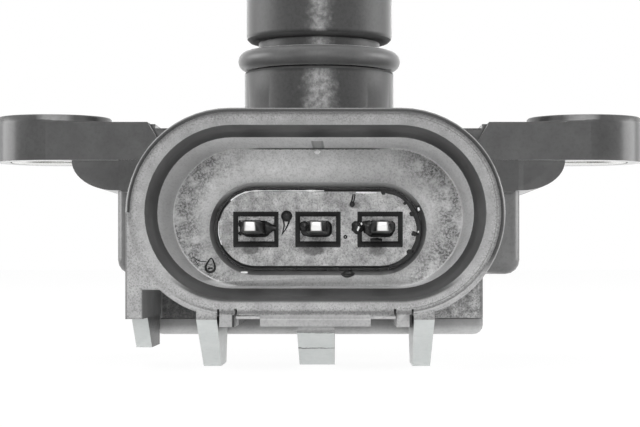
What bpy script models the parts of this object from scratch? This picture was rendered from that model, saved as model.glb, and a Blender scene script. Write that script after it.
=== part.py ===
"""Manifold absolute pressure sensor with a three-pin sealed connector socket, a port tube with an
O-ring and two bolt ears.

Frame: metres, +Z along the port tube, which points up. The origin is on the port's axis, in the
plane of the ears' seats. The connector socket opens towards -Y, and the ears lie along X.
"""

import math

import bmesh
import bpy
from mathutils import Matrix, Vector

MM = 0.001

# Bolt ears and the flange between them
EAR_SPACING = 45.2 * MM
EAR_DIAMETER = 9.8 * MM
EAR_SEAT_HEIGHT = 0.65 * MM
SEAT_EDGE = 0.12 * MM
SEAT_FLARE_REACH = 0.9 * MM
SEAT_FLARE_RISE = 0.24 * MM
FLANGE_THICKNESS = 3.15 * MM
SLEEVE_DIAMETER = 7.4 * MM
BOLT_HOLE_DIAMETER = 5.4 * MM
SLEEVE_EDGE = 0.15 * MM

# Port tube, its O-ring groove and its bore
PORT_DIAMETER = 12.7 * MM
PORT_TIP_DIAMETER = 12.4 * MM
PORT_TIP_LENGTH = 7.4 * MM
PORT_TIP_CHAMFER = 0.9 * MM
PORT_BORE = 6.2 * MM
PORT_BORE_LEAD = 0.4 * MM
PORT_SHOULDER_ROUND = 0.25 * MM
GROOVE_SEAT_HEIGHT = 3.92 * MM
GROOVE_LENGTH = 2.48 * MM
GROOVE_DIAMETER = 10.3 * MM
GROOVE_ROUND = 0.6 * MM
RING_SECTION = 1.7 * MM
NECK_BORE = 3.4 * MM

# Connector socket and the shroud round it
RIM_REACH = 20.0 * MM
MOUTH_WIDTH = 25.54 * MM
MOUTH_HEIGHT = 13.08 * MM
SHROUD_SIDE_WALL = 1.46 * MM
SHROUD_TOP_WALL = 1.305 * MM
SHROUD_DROP = 0.73 * MM
RIM_ROUND = 0.36 * MM
LEAD_IN = 0.85 * MM
LEAD_IN_DEPTH = 1.2 * MM
SOCKET_DEPTH = 13.2 * MM
SOCKET_DRAFT = 0.06 * MM

# Keying wall, rails and lock ramp round the shroud
KEY_WALL = 1.27 * MM
KEY_FILL_DROP = 5.8 * MM
KEY_WALL_FOOT = 0.13 * MM
KEY_RAIL_HEIGHT = 2.56 * MM
KEY_RAIL_START = 4.2 * MM
KEY_RAIL_RAMP_LENGTH = 3.4 * MM
RAIL_OUTER_X = 8.91 * MM
RAIL_WIDTH = 1.55 * MM
RAIL_HEIGHT = 4.03 * MM
RAIL_RAMP_LENGTH = 7.6 * MM
RAIL_FOOT = 0.17 * MM
RAIL_DRAFT = 0.15 * MM
RIB_WIDTH = 1.16 * MM
RIB_HEIGHT = 0.72 * MM
RIB_GAP = 0.16 * MM
RIB_SLOT = 0.19 * MM
RIB_SLOT_HEIGHT = 0.62 * MM
RIB_SLOT_DEPTH = 6.0 * MM
PAD_WIDTH = 8.28 * MM
PAD_HEIGHT = 0.67 * MM
PAD_LENGTH = 12.0 * MM
LOCK_WIDTH = 2.8 * MM
LOCK_START = 1.3 * MM
LOCK_STEP = 1.15 * MM
LOCK_BREAK_LENGTH = 3.7 * MM
LOCK_BREAK_HEIGHT = 2.5 * MM
LOCK_RAMP_LENGTH = 7.7 * MM
LOCK_HEIGHT = 3.99 * MM
LOCK_LAND = 0.5 * MM

# Body behind the shroud
BLOCK_SETBACK = 14.0 * MM
BLOCK_WIDTH = 27.2 * MM
BLOCK_DEPTH = 17.2 * MM
BLOCK_CORNER = 0.8 * MM
BLOCK_WALL = 1.5 * MM
BLOCK_FOOT_DROP = 0.44 * MM
TONGUE_WIDTH = 33.1 * MM
TONGUE_DROP = 5.81 * MM
TONGUE_CORNER = 0.5 * MM
SHOULDER_WIDTH = 41.0 * MM
SHOULDER_SETBACK = 0.5 * MM
SHOULDER_BACK_SETBACK = 0.6 * MM
SHOULDER_ROUND_X = 3.6 * MM
SHOULDER_ROUND_Z = 2.5 * MM
SIDE_BOX_WIDTH = 33.74 * MM
SIDE_BOX_HEIGHT = 6.96 * MM
SIDE_BOX_SETBACK = 1.4 * MM
SIDE_BOX_CORNER = 1.2 * MM
SIDE_POCKET_WALL = 1.4 * MM
CHANNEL_WIDTH = 28.3 * MM
CHANNEL_DEPTH = 1.55 * MM
CHANNEL_LEAN = 0.9 * MM
CHANNEL_LENGTH = 2.4 * MM
DECK_DEPTH = 0.35 * MM

# Terminal carrier and terminals
CARRIER_DROP = 0.96 * MM
TERMINAL_PITCH = 5.08 * MM
POCKET_WIDTH = 3.72 * MM
POCKET_HEIGHT = 2.81 * MM
POCKET_DRAFT = 0.39 * MM
POCKET_DEPTH = 0.6 * MM
CARRIER_END_MARGIN = 1.285 * MM
CARRIER_SIDE_MARGIN = 1.745 * MM
CARRIER_GAP = 0.28 * MM
CARRIER_THICKNESS = 1.6 * MM
CARRIER_EDGE = 0.12 * MM
CARRIER_STOP = 1.1 * MM
WINDOW_CHAMFER = 0.37 * MM
BLADE_WIDTH = 1.5 * MM
BLADE_THICKNESS = 0.8 * MM
BLADE_TIP_WIDTH = 0.78 * MM
BLADE_TIP_THICKNESS = 0.72 * MM
BLADE_TAPER = 1.1 * MM
BLADE_REACH = 10.35 * MM
BLADE_LEG = 3.0 * MM
BLADE_BEND = 0.9 * MM
RESIN_WELL_WIDTH = 2.3 * MM
RESIN_WELL_HEIGHT = 1.36 * MM
RESIN_WELL_DEPTH = 0.8 * MM

# Electronics chamber, its board and its cover
BOARD_THICKNESS = 1.0 * MM
BOARD_DROP = 1.42 * MM
BOARD_CLEARANCE = 0.2 * MM
BOARD_SHELF = 1.05 * MM
CHAMBER_HEADROOM = 4.33 * MM
CHAMBER_CORNER = 0.6 * MM
COVER_THICKNESS = 1.3 * MM
COVER_ROUND = 0.95 * MM
COVER_LIP = 1.0 * MM
COVER_LIP_HEIGHT = 1.5 * MM
COVER_GLUE = 0.5 * MM
CELL_SIDE = 5.2 * MM
CELL_CORNER = 0.4 * MM
CELL_HEIGHT = 3.3 * MM
CELL_WELL = 3.6 * MM
CELL_FLOOR = 1.0 * MM
GLASS_SIDE = 1.7 * MM
GLASS_THICKNESS = 0.5 * MM
DIE_SIDE = 1.5 * MM
DIE_THICKNESS = 0.4 * MM
GEL_COVERAGE = 0.5 * MM
SEAL_WALL = 0.75 * MM
SEAL_RECESS = 0.5 * MM
CHIP_LENGTH = 4.9 * MM
CHIP_WIDTH = 3.9 * MM
CHIP_THICKNESS = 1.35 * MM
CHIP_LEAD = 1.0 * MM
CHIP_LEAD_WIDTH = 0.4 * MM
CHIP_FOOT = 0.5 * MM
CHIP_SETBACK = 1.6 * MM
CAPACITOR_LENGTH = 2.0 * MM
CAPACITOR_WIDTH = 1.25 * MM
CAPACITOR_HEIGHT = 1.0 * MM
CAPACITOR_EDGE = 0.1 * MM
RESISTOR_LENGTH = 1.6 * MM
RESISTOR_WIDTH = 0.8 * MM
RESISTOR_HEIGHT = 0.45 * MM

# Clearance between pieces, the least step between two faces of one piece, and how far cutters reach
FIT = 0.05 * MM
STEP = 0.02 * MM
OVERLAP = 0.4 * MM

# Facets
ARC_STEPS = 28
TURN_STEPS = 56
CORNER_STEPS = 4

# Levels and places that follow from the sizes above
FLANGE_TOP = -EAR_SEAT_HEIGHT
FLANGE_BOTTOM = FLANGE_TOP - FLANGE_THICKNESS
RIM_Y = -RIM_REACH
SHROUD_WIDTH = MOUTH_WIDTH + 2 * SHROUD_SIDE_WALL
SHROUD_HEIGHT = MOUTH_HEIGHT + 2 * SHROUD_TOP_WALL
SOCKET_Z = -SHROUD_DROP - SHROUD_HEIGHT / 2
SHROUD_BOTTOM = SOCKET_Z - SHROUD_HEIGHT / 2
FLOOR_Y = RIM_Y + SOCKET_DEPTH
BLOCK_FRONT = RIM_Y + BLOCK_SETBACK
BLOCK_BACK = BLOCK_FRONT + BLOCK_DEPTH
BLOCK_FOOT = SHROUD_BOTTOM - BLOCK_FOOT_DROP
WEB_FRONT = -EAR_DIAMETER / 2
SHOULDER_FRONT = WEB_FRONT + SHOULDER_SETBACK
SHOULDER_BACK = BLOCK_BACK - SHOULDER_BACK_SETBACK
SHOULDER_FOOT = FLANGE_BOTTOM - SHOULDER_ROUND_Z
RAIL_BACK = BLOCK_FRONT - 6 * FIT
TERMINAL_Z = SOCKET_Z - CARRIER_DROP
CARRIER_WIDTH = 2 * TERMINAL_PITCH + POCKET_WIDTH + 2 * CARRIER_END_MARGIN
CARRIER_HEIGHT = POCKET_HEIGHT + 2 * CARRIER_SIDE_MARGIN
CARRIER_BACK = FLOOR_Y + FIT + CARRIER_THICKNESS
CHAMBER_FRONT = BLOCK_FRONT + BLOCK_WALL
CHAMBER_BACK = BLOCK_BACK - BLOCK_WALL
CHAMBER_WIDTH = BLOCK_WIDTH - 2 * BLOCK_WALL
CHAMBER_ROOF = TERMINAL_Z + CHAMBER_HEADROOM
BOARD_TOP = TERMINAL_Z - BOARD_DROP
BOARD_BOTTOM = BOARD_TOP - BOARD_THICKNESS
BOARD_FRONT = CHAMBER_FRONT + BOARD_CLEARANCE
BOARD_BACK = CHAMBER_BACK - BOARD_CLEARANCE
BOARD_WIDTH = CHAMBER_WIDTH - 2 * BOARD_CLEARANCE
LEG_FRONT = BOARD_FRONT + 5 * FIT
LEG_Y = LEG_FRONT + BLADE_THICKNESS / 2
CELL_TOP = BOARD_TOP + FIT + CELL_HEIGHT
GROOVE_TOP = GROOVE_SEAT_HEIGHT + GROOVE_LENGTH
PORT_TOP = GROOVE_TOP + PORT_TIP_LENGTH
TERMINAL_NAMES = ("left", "middle", "right")


def clear_scene():
    for old in list(bpy.data.objects):
        bpy.data.objects.remove(old, do_unlink=True)


def make_material(name, colour, roughness, metallic=0.0):
    material = bpy.data.materials.new(name)
    material.use_nodes = True
    shader = material.node_tree.nodes["Principled BSDF"]
    shader.inputs["Base Color"].default_value = (*colour, 1.0)
    shader.inputs["Roughness"].default_value = roughness
    shader.inputs["Metallic"].default_value = metallic
    return material


def mesh_from(name, bm, smooth_angle=32.0):
    """A mesh from a finished bmesh, with its faces out and its round stretches shaded smooth."""
    bmesh.ops.recalc_face_normals(bm, faces=bm.faces)
    mesh = bpy.data.meshes.new(name)
    bm.to_mesh(mesh)
    bm.free()
    mesh.shade_smooth()
    mesh.set_sharp_from_angle(angle=math.radians(smooth_angle))
    return mesh


def place(name, mesh, material, location=(0, 0, 0), turn=0.0):
    """One named piece of the sensor, hung on the sensor's own empty."""
    piece = bpy.data.objects.new(name, mesh)
    bpy.context.scene.collection.objects.link(piece)
    if not mesh.materials:
        mesh.materials.append(material)
    piece.location = location
    piece.rotation_euler.z = turn
    piece.parent = SENSOR
    return piece


def helper(name, bm, location=(0, 0, 0)):
    """A solid that only joins or cuts another one."""
    piece = bpy.data.objects.new(name, mesh_from(name, bm))
    bpy.context.scene.collection.objects.link(piece)
    piece.location = location
    piece.hide_render = True
    piece.display_type = "WIRE"
    piece.parent = SENSOR
    return piece


def boolean(piece, operation, tool):
    step = piece.modifiers.new(f"{operation.lower()} {tool.name}", "BOOLEAN")
    step.operation = operation
    step.solver = "EXACT"
    step.object = tool


def add(piece, name, bm, location=(0, 0, 0)):
    boolean(piece, "UNION", helper(name, bm, location))


def cut(piece, name, bm, location=(0, 0, 0)):
    boolean(piece, "DIFFERENCE", helper(name, bm, location))


def arc(centre, radii, start, end, steps):
    """Points from angle start to angle end, in degrees, round a centre in the drawing plane."""
    angles = (math.radians(start + (end - start) * i / steps) for i in range(steps + 1))
    return [(centre[0] + radii[0] * math.cos(a), centre[1] + radii[1] * math.sin(a)) for a in angles]


def oval(width, height, centre=(0, 0)):
    """A flat-sided oval: two half circles joined by straight sides."""
    radius = height / 2
    reach = width / 2 - radius
    right = arc((centre[0] + reach, centre[1]), (radius, radius), -90, 90, ARC_STEPS)
    left = arc((centre[0] - reach, centre[1]), (radius, radius), 90, 270, ARC_STEPS)
    return right + left


def rounded_box(x_low, x_high, y_low, y_high, radius):
    points = []
    corners = (
        (x_high - radius, y_low + radius, -90),
        (x_high - radius, y_high - radius, 0),
        (x_low + radius, y_high - radius, 90),
        (x_low + radius, y_low + radius, 180),
    )
    for x, y, start in corners:
        points += arc((x, y), (radius, radius), start, start + 90, CORNER_STEPS)
    return points


def on_xz(points, y):
    return [Vector((x, y, z)) for x, z in points]


def on_xy(points, z):
    return [Vector((x, y, z)) for x, y in points]


def on_yz(points, x):
    return [Vector((x, y, z)) for y, z in points]


def prism(corners, along):
    """A closed outline extruded along a vector."""
    bm = bmesh.new()
    base = bm.faces.new([bm.verts.new(corner) for corner in corners])
    made = bmesh.ops.extrude_face_region(bm, geom=[base])
    moved = [item for item in made["geom"] if isinstance(item, bmesh.types.BMVert)]
    bmesh.ops.translate(bm, verts=moved, vec=along)
    return bm


def prism_y(points, y_low, y_high):
    return prism(on_xz(points, y_low), Vector((0, y_high - y_low, 0)))


def prism_z(points, z_low, z_high):
    return prism(on_xy(points, z_low), Vector((0, 0, z_high - z_low)))


def prism_x(points, x_low, x_high):
    return prism(on_yz(points, x_low), Vector((x_high - x_low, 0, 0)))


def loft(rings):
    """A closed solid through rings that all have the same number of points."""
    bm = bmesh.new()
    loops = [[bm.verts.new(corner) for corner in ring] for ring in rings]
    rims = [[bm.edges.new(pair) for pair in zip(loop, loop[1:] + loop[:1])] for loop in loops]
    for near, far in zip(rims, rims[1:]):
        bmesh.ops.bridge_loops(bm, edges=near + far)
    bm.faces.new(loops[0])
    bm.faces.new(loops[-1])
    return bm


def turned(profile, steps=TURN_STEPS):
    """A profile of (radius, height) points turned about the Z axis."""
    bm = bmesh.new()
    verts = [bm.verts.new((radius, 0, height)) for radius, height in profile]
    edges = [bm.edges.new(pair) for pair in zip(verts, verts[1:] + verts[:1])]
    bmesh.ops.spin(
        bm,
        geom=verts + edges,
        axis=(0, 0, 1),
        cent=(0, 0, 0),
        angle=math.tau,
        steps=steps,
        use_merge=True,
    )
    bmesh.ops.remove_doubles(bm, verts=bm.verts, dist=1e-7)
    thin = [edge for edge in bm.edges if not edge.link_faces]
    bmesh.ops.delete(bm, geom=thin, context="EDGES")
    return bm


def block(x_low, x_high, y_low, y_high, z_low, z_high):
    corners = ((x_low, y_low), (x_high, y_low), (x_high, y_high), (x_low, y_high))
    return prism_z(corners, z_low, z_high)


def round_edges(bm, chosen, width, steps=3):
    """Rounds the edges of a bmesh for which chosen(edge) is true."""
    bmesh.ops.recalc_face_normals(bm, faces=bm.faces)
    edges = [edge for edge in bm.edges if chosen(edge)]
    bmesh.ops.bevel(
        bm,
        geom=edges,
        offset=width,
        offset_type="OFFSET",
        affect="EDGES",
        segments=steps,
        profile=0.5,
        material=-1,
        clamp_overlap=True,
    )
    return bm


def lies_at(axis, value):
    """Tells whether both ends of an edge lie at this value of the axis."""
    return lambda edge: all(abs(vert.co[axis] - value) < 1e-6 for vert in edge.verts)


def shroud_outline():
    """The rim's outline: an oval whose lower left quarter is squared off by the keying wall."""
    radius = SHROUD_HEIGHT / 2
    reach = SHROUD_WIDTH / 2 - radius
    fill_z = SOCKET_Z - KEY_FILL_DROP
    fill_angle = 180 + math.degrees(math.asin(KEY_FILL_DROP / radius))
    wall_x = -SHROUD_WIDTH / 2
    points = arc((reach, SOCKET_Z), (radius, radius), -90, 90, ARC_STEPS)
    points += arc((-reach, SOCKET_Z), (radius, radius), 90, 180, ARC_STEPS // 2)
    points += [(wall_x, SHROUD_BOTTOM - KEY_WALL_FOOT)]
    points += [(wall_x + KEY_WALL, SHROUD_BOTTOM - KEY_WALL_FOOT)]
    points += [(wall_x + KEY_WALL, fill_z)]
    points += arc((-reach, SOCKET_Z), (radius, radius), fill_angle, 270, ARC_STEPS // 3)
    return points


def shroud_solid():
    bm = prism_y(shroud_outline(), RIM_Y, WEB_FRONT + CHANNEL_LENGTH + OVERLAP)
    return round_edges(bm, lies_at(1, RIM_Y), RIM_ROUND)


def socket_cutter():
    """The oval socket with the chamfer that leads the plug in."""
    slope = LEAD_IN / LEAD_IN_DEPTH
    proud = OVERLAP
    throat_width = MOUTH_WIDTH - 2 * LEAD_IN
    throat_height = MOUTH_HEIGHT - 2 * LEAD_IN
    sections = (
        (RIM_Y - proud, MOUTH_WIDTH + 2 * proud * slope, MOUTH_HEIGHT + 2 * proud * slope),
        (RIM_Y + LEAD_IN_DEPTH, throat_width, throat_height),
        (FLOOR_Y, throat_width - 2 * SOCKET_DRAFT, throat_height - 2 * SOCKET_DRAFT),
    )
    return loft([on_xz(oval(width, height, (0, SOCKET_Z)), y) for y, width, height in sections])


def window_cutter():
    """The oval window in the socket's floor that the terminal carrier fills."""
    width = CARRIER_WIDTH + 2 * CARRIER_GAP
    height = CARRIER_HEIGHT + 2 * CARRIER_GAP
    wide = 2 * (WINDOW_CHAMFER + FIT)
    sections = (
        (FLOOR_Y - FIT, width + wide, height + wide),
        (FLOOR_Y + WINDOW_CHAMFER, width, height),
        (CARRIER_BACK + FIT, width, height),
    )
    return loft([on_xz(oval(w, h, (0, TERMINAL_Z)), y) for y, w, h in sections])


def rail_solid(side, outer_x, width, foot, ramp_start, ramp_end, draft):
    """A rail below the shroud with a ramp at its front end. side is -1 at the left."""
    low = SHROUD_BOTTOM - foot
    root = SHROUD_BOTTOM + SHROUD_TOP_WALL / 2
    front = RIM_Y + FIT + ramp_start
    points = [
        (front, root),
        (front, SHROUD_BOTTOM - (KEY_WALL_FOOT - STEP if ramp_start else RAIL_FOOT)),
        (RIM_Y + ramp_end, low),
        (RAIL_BACK, low),
        (RAIL_BACK, root),
    ]
    bm = prism_x(points, outer_x - width, outer_x)
    for vert in bm.verts:
        if vert.co.z < SHROUD_BOTTOM - foot + FIT and vert.co.x < outer_x - width / 2:
            vert.co.x += draft
    if side < 0:
        bmesh.ops.scale(bm, verts=bm.verts, vec=(-1, 1, 1))
    return bm


def lock_ramp():
    """The two-stage ramp that lifts the plug's latch, with the catch face at its back."""
    root = SHROUD_BOTTOM + SHROUD_TOP_WALL / 2
    start = RIM_Y + LOCK_START
    points = [
        (start, root),
        (start, SHROUD_BOTTOM - LOCK_STEP),
        (start + LOCK_BREAK_LENGTH, SHROUD_BOTTOM - LOCK_BREAK_HEIGHT),
        (start + LOCK_RAMP_LENGTH, SHROUD_BOTTOM - LOCK_HEIGHT),
        (start + LOCK_RAMP_LENGTH + LOCK_LAND, SHROUD_BOTTOM - LOCK_HEIGHT),
        (start + LOCK_RAMP_LENGTH + LOCK_LAND, root),
    ]
    return prism_x(points, -LOCK_WIDTH / 2, LOCK_WIDTH / 2)


def shoulder_outline():
    """The body's upper part: flat on top, with quarter-ellipse bellies under the ears."""
    half = SHOULDER_WIDTH / 2
    centre_x = half - SHOULDER_ROUND_X
    radii = (SHOULDER_ROUND_X, SHOULDER_ROUND_Z)
    right = arc((centre_x, FLANGE_BOTTOM), radii, -90, 0, 3 * CORNER_STEPS)
    left = arc((-centre_x, FLANGE_BOTTOM), radii, 180, 270, 3 * CORNER_STEPS)
    return right + [(half, FLANGE_TOP - STEP), (-half, FLANGE_TOP - STEP)] + left


def tongue_outline():
    half = TONGUE_WIDTH / 2
    foot = FLANGE_TOP - TONGUE_DROP
    radii = (TONGUE_CORNER, TONGUE_CORNER)
    centre_z = foot + TONGUE_CORNER
    right = arc((half - TONGUE_CORNER, centre_z), radii, -90, 0, CORNER_STEPS)
    left = arc((-half + TONGUE_CORNER, centre_z), radii, 180, 270, CORNER_STEPS)
    top = FLANGE_BOTTOM + OVERLAP
    return right + [(half, top), (-half, top)] + left


def side_box():
    """The wide rounded band of the body, below the shoulder."""
    half = SIDE_BOX_WIDTH / 2
    front = WEB_FRONT + SIDE_BOX_SETBACK
    top = SHOULDER_FOOT + SIDE_BOX_CORNER + OVERLAP
    outline = rounded_box(-half, half, SHOULDER_FOOT - SIDE_BOX_HEIGHT, top, SIDE_BOX_CORNER)
    bm = prism_y(outline, front, SHOULDER_BACK - OVERLAP)
    return round_edges(bm, lies_at(1, front), SIDE_BOX_CORNER * 0.75)


def port_profile():
    """Half section of the port tube: seat for the O-ring, groove and chamfered tip."""
    inner = GROOVE_DIAMETER / 2
    lower = PORT_DIAMETER / 2
    upper = PORT_TIP_DIAMETER / 2
    edge = PORT_SHOULDER_ROUND
    points = [(0, CHAMBER_ROOF + SEAL_RECESS + OVERLAP), (lower, CHAMBER_ROOF + SEAL_RECESS + OVERLAP)]
    points += arc((lower - edge, GROOVE_SEAT_HEIGHT - edge), (edge, edge), 0, 90, 2)
    points += [(inner, GROOVE_SEAT_HEIGHT)]
    points += [(inner, GROOVE_TOP)]
    centre = (upper - GROOVE_ROUND, GROOVE_TOP + GROOVE_ROUND)
    points += arc(centre, (GROOVE_ROUND, GROOVE_ROUND), -90, 0, 3)
    points += [(upper, PORT_TOP - PORT_TIP_CHAMFER), (upper - PORT_TIP_CHAMFER * 0.6, PORT_TOP)]
    points += [(0, PORT_TOP)]
    return points


def port_bore_profile():
    """Half section of the way in: wide bore, cone, neck and the recess for the cell's seal."""
    bore = PORT_BORE / 2
    neck = NECK_BORE / 2
    seal = NECK_BORE / 2 + SEAL_WALL + 5 * FIT
    lead = PORT_BORE_LEAD
    cone_top = FLANGE_TOP + OVERLAP
    cone_foot = cone_top - (bore - neck)
    return [
        (0, PORT_TOP + OVERLAP),
        (bore + lead + OVERLAP, PORT_TOP + OVERLAP),
        (bore, PORT_TOP - lead),
        (bore, cone_top),
        (neck, cone_foot),
        (neck, CHAMBER_ROOF + SEAL_RECESS),
        (seal, CHAMBER_ROOF + SEAL_RECESS),
        (seal, CHAMBER_ROOF - OVERLAP),
        (0, CHAMBER_ROOF - OVERLAP),
    ]


def cylinder(diameter, z_low, z_high, steps=ARC_STEPS * 2):
    return prism_z(arc((0, 0), (diameter / 2, diameter / 2), 0, 360, steps)[:-1], z_low, z_high)


def add_body(housing):
    """The shoulder and tongue under the flange, the chamber's block, the side boxes and the shroud."""
    add(housing, "shoulder", prism_y(shoulder_outline(), SHOULDER_FRONT, SHOULDER_BACK))
    add(housing, "tongue", prism_y(tongue_outline(), WEB_FRONT + STEP, SHOULDER_FRONT + OVERLAP))
    half = BLOCK_WIDTH / 2
    step_y = WEB_FRONT + CHANNEL_LENGTH + OVERLAP
    step_z = SOCKET_Z - STEP
    profile = [
        (BLOCK_FRONT, BLOCK_FOOT),
        (BLOCK_BACK, BLOCK_FOOT),
        (BLOCK_BACK, FLANGE_TOP - 2 * STEP),
        (step_y, FLANGE_TOP - 2 * STEP),
        (step_y, step_z),
        (BLOCK_FRONT, step_z),
    ]
    body = prism_x(profile, -half, half)
    uprights = lambda edge: (lies_at(1, BLOCK_FRONT)(edge) or lies_at(1, BLOCK_BACK)(edge)) and (
        lies_at(0, half)(edge) or lies_at(0, -half)(edge)
    )
    add(housing, "chamber_block", round_edges(body, uprights, BLOCK_CORNER, CORNER_STEPS))
    add(housing, "side_box", side_box())
    add(housing, "shroud", shroud_solid())


def cut_deck(housing):
    """The channel behind the shroud and the recessed deck round the port."""
    half = CHANNEL_WIDTH / 2
    lean = CHANNEL_LEAN / CHANNEL_DEPTH
    channel = [
        (-half + CHANNEL_LEAN, FLANGE_TOP - CHANNEL_DEPTH),
        (half - CHANNEL_LEAN, FLANGE_TOP - CHANNEL_DEPTH),
        (half + lean * OVERLAP, FLANGE_TOP + OVERLAP),
        (-half - lean * OVERLAP, FLANGE_TOP + OVERLAP),
    ]
    channel_back = WEB_FRONT + CHANNEL_LENGTH
    deck = (-half + OVERLAP, half - OVERLAP, channel_back - OVERLAP, BLOCK_BACK + OVERLAP)
    cut(housing, "channel", prism_y(channel, WEB_FRONT - FIT, channel_back))
    cut(housing, "deck", block(*deck, FLANGE_TOP - DECK_DEPTH, FLANGE_TOP + OVERLAP))


def bolt_seat(name, x):
    """A bolt's round seat with the hollow curve at its foot, kept inside the flange's outline."""
    radius = EAR_DIAMETER / 2 - 2 * STEP
    centre = (radius + SEAT_FLARE_REACH, FLANGE_TOP + SEAT_FLARE_RISE)
    profile = [(0, FLANGE_TOP - OVERLAP), (radius + SEAT_FLARE_REACH, FLANGE_TOP - OVERLAP)]
    profile += arc(centre, (SEAT_FLARE_REACH, SEAT_FLARE_RISE + 2 * STEP), -90, -180, CORNER_STEPS)
    profile += [(radius, -SEAT_EDGE), (radius - SEAT_EDGE, 0), (0, 0)]
    bm = turned(profile)
    half_step = Matrix.Rotation(math.pi / TURN_STEPS, 3, "Z")
    bmesh.ops.rotate(bm, verts=bm.verts, cent=(0, 0, 0), matrix=half_step)
    seat = helper(name, bm, (x, 0, 0))
    outline = oval(EAR_SPACING + EAR_DIAMETER - 2 * STEP, EAR_DIAMETER - 2 * STEP)
    trim = prism_z(outline, FLANGE_TOP - 2 * OVERLAP, OVERLAP)
    boolean(seat, "INTERSECT", helper(f"{name}_trim", trim))
    return seat


def add_seats(housing):
    """The round seats on the ears."""
    for side, name in ((-1, "left"), (1, "right")):
        boolean(housing, "UNION", bolt_seat(f"seat_{name}", side * EAR_SPACING / 2))


def add_guides(housing):
    """The rails, ribs, pad and lock ramp below the shroud that guide and hold the plug."""
    root = SHROUD_BOTTOM + SHROUD_TOP_WALL / 2
    for side, name in ((-1, "left"), (1, "right")):
        rail = rail_solid(side, RAIL_OUTER_X, RAIL_WIDTH, RAIL_HEIGHT, 0, RAIL_RAMP_LENGTH, RAIL_DRAFT)
        add(housing, f"rail_{name}", rail)
        rib_outer = RAIL_OUTER_X - RAIL_WIDTH - RIB_GAP
        edges = sorted((side * rib_outer, side * (rib_outer - RIB_WIDTH)))
        rib = block(*edges, RIM_Y + FIT, RAIL_BACK, SHROUD_BOTTOM - RIB_HEIGHT, root)
        add(housing, f"rib_{name}", rib)
    key_x = SHROUD_WIDTH / 2 - STEP
    key_width = KEY_WALL - 2 * STEP
    ramp_end = KEY_RAIL_START + KEY_RAIL_RAMP_LENGTH
    key_rail = rail_solid(-1, key_x, key_width, KEY_RAIL_HEIGHT, KEY_RAIL_START, ramp_end, 0)
    add(housing, "key_rail", key_rail)
    pad = (-PAD_WIDTH / 2, PAD_WIDTH / 2, RIM_Y + FIT, RIM_Y + PAD_LENGTH)
    add(housing, "pad", block(*pad, SHROUD_BOTTOM - PAD_HEIGHT, root))
    add(housing, "lock_ramp", lock_ramp())


def cut_guide_slots(housing):
    """The narrow slots beside the ribs at the rim."""
    top = SHROUD_BOTTOM + RIB_SLOT_HEIGHT
    rib_outer = RAIL_OUTER_X - RAIL_WIDTH - RIB_GAP
    rib_inner = rib_outer - RIB_WIDTH
    for side, name in ((-1, "left"), (1, "right")):
        inner = sorted((side * (rib_inner + STEP), side * (rib_inner - RIB_SLOT)))
        outer = sorted((side * (rib_outer - STEP), side * (rib_outer + RIB_GAP - STEP)))
        reach = (RIM_Y - OVERLAP, RIM_Y + RIB_SLOT_DEPTH)
        cut(housing, f"inner_slot_{name}", block(*inner, *reach, SHROUD_BOTTOM - 2 * RIB_HEIGHT, top))
        cut(housing, f"outer_slot_{name}", block(*outer, *reach, SHROUD_BOTTOM - 2 * RIB_HEIGHT, top))


def cut_socket(housing):
    """The socket, the carrier's window and the opening behind it into the chamber."""
    cut(housing, "socket", socket_cutter())
    cut(housing, "window", window_cutter())
    half = CARRIER_WIDTH / 2 - CARRIER_STOP
    rise = CARRIER_HEIGHT / 2 - CARRIER_STOP / 2
    way = (-half, half, CARRIER_BACK - FIT, CHAMBER_FRONT + OVERLAP)
    cut(housing, "terminal_way", block(*way, TERMINAL_Z - rise, TERMINAL_Z + rise))


def cut_chamber(housing):
    """The stepped chamber: wide below the board's shelf, narrower above it."""
    half = CHAMBER_WIDTH / 2
    low = rounded_box(-half, half, CHAMBER_FRONT, CHAMBER_BACK, CHAMBER_CORNER)
    cut(housing, "chamber_low", prism_z(low, BLOCK_FOOT - OVERLAP, BOARD_TOP + FIT))
    half -= BOARD_SHELF
    high = rounded_box(-half, half, CHAMBER_FRONT + STEP, CHAMBER_BACK - BOARD_SHELF, CHAMBER_CORNER)
    cut(housing, "chamber_high", prism_z(high, BOARD_TOP - OVERLAP, CHAMBER_ROOF))


def cut_side_pockets(housing):
    """The pockets that keep the side boxes' walls even, open downwards."""
    inner = BLOCK_WIDTH / 2 + SIDE_POCKET_WALL / 8
    outer = SIDE_BOX_WIDTH / 2 - SIDE_POCKET_WALL
    front = WEB_FRONT + SIDE_BOX_SETBACK + SIDE_POCKET_WALL
    back = SHOULDER_BACK - SIDE_POCKET_WALL
    top = SHOULDER_FOOT - SIDE_POCKET_WALL
    foot = SHOULDER_FOOT - SIDE_BOX_HEIGHT - OVERLAP
    for side, name in ((-1, "left"), (1, "right")):
        edges = sorted((side * inner, side * outer))
        cut(housing, f"side_pocket_{name}", block(*edges, front, back, foot, top))


def make_housing(material):
    """The one moulding that carries everything else."""
    flange = oval(EAR_SPACING + EAR_DIAMETER, EAR_DIAMETER)
    mesh = mesh_from("housing", prism_z(flange, FLANGE_BOTTOM, FLANGE_TOP))
    housing = place("housing", mesh, material)
    add_body(housing)
    cut_deck(housing)
    add_seats(housing)
    add(housing, "port", turned(port_profile()))
    add_guides(housing)
    cut_guide_slots(housing)
    cut_socket(housing)
    cut_chamber(housing)
    cut(housing, "port_bore", turned(port_bore_profile(), TURN_STEPS // 2))
    cut_side_pockets(housing)
    for side, name in ((-1, "left"), (1, "right")):
        hole = cylinder(SLEEVE_DIAMETER + 2 * FIT, FLANGE_BOTTOM - OVERLAP, OVERLAP, TURN_STEPS)
        cut(housing, f"sleeve_hole_{name}", hole, (side * EAR_SPACING / 2, 0, 0))
    return housing


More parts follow.
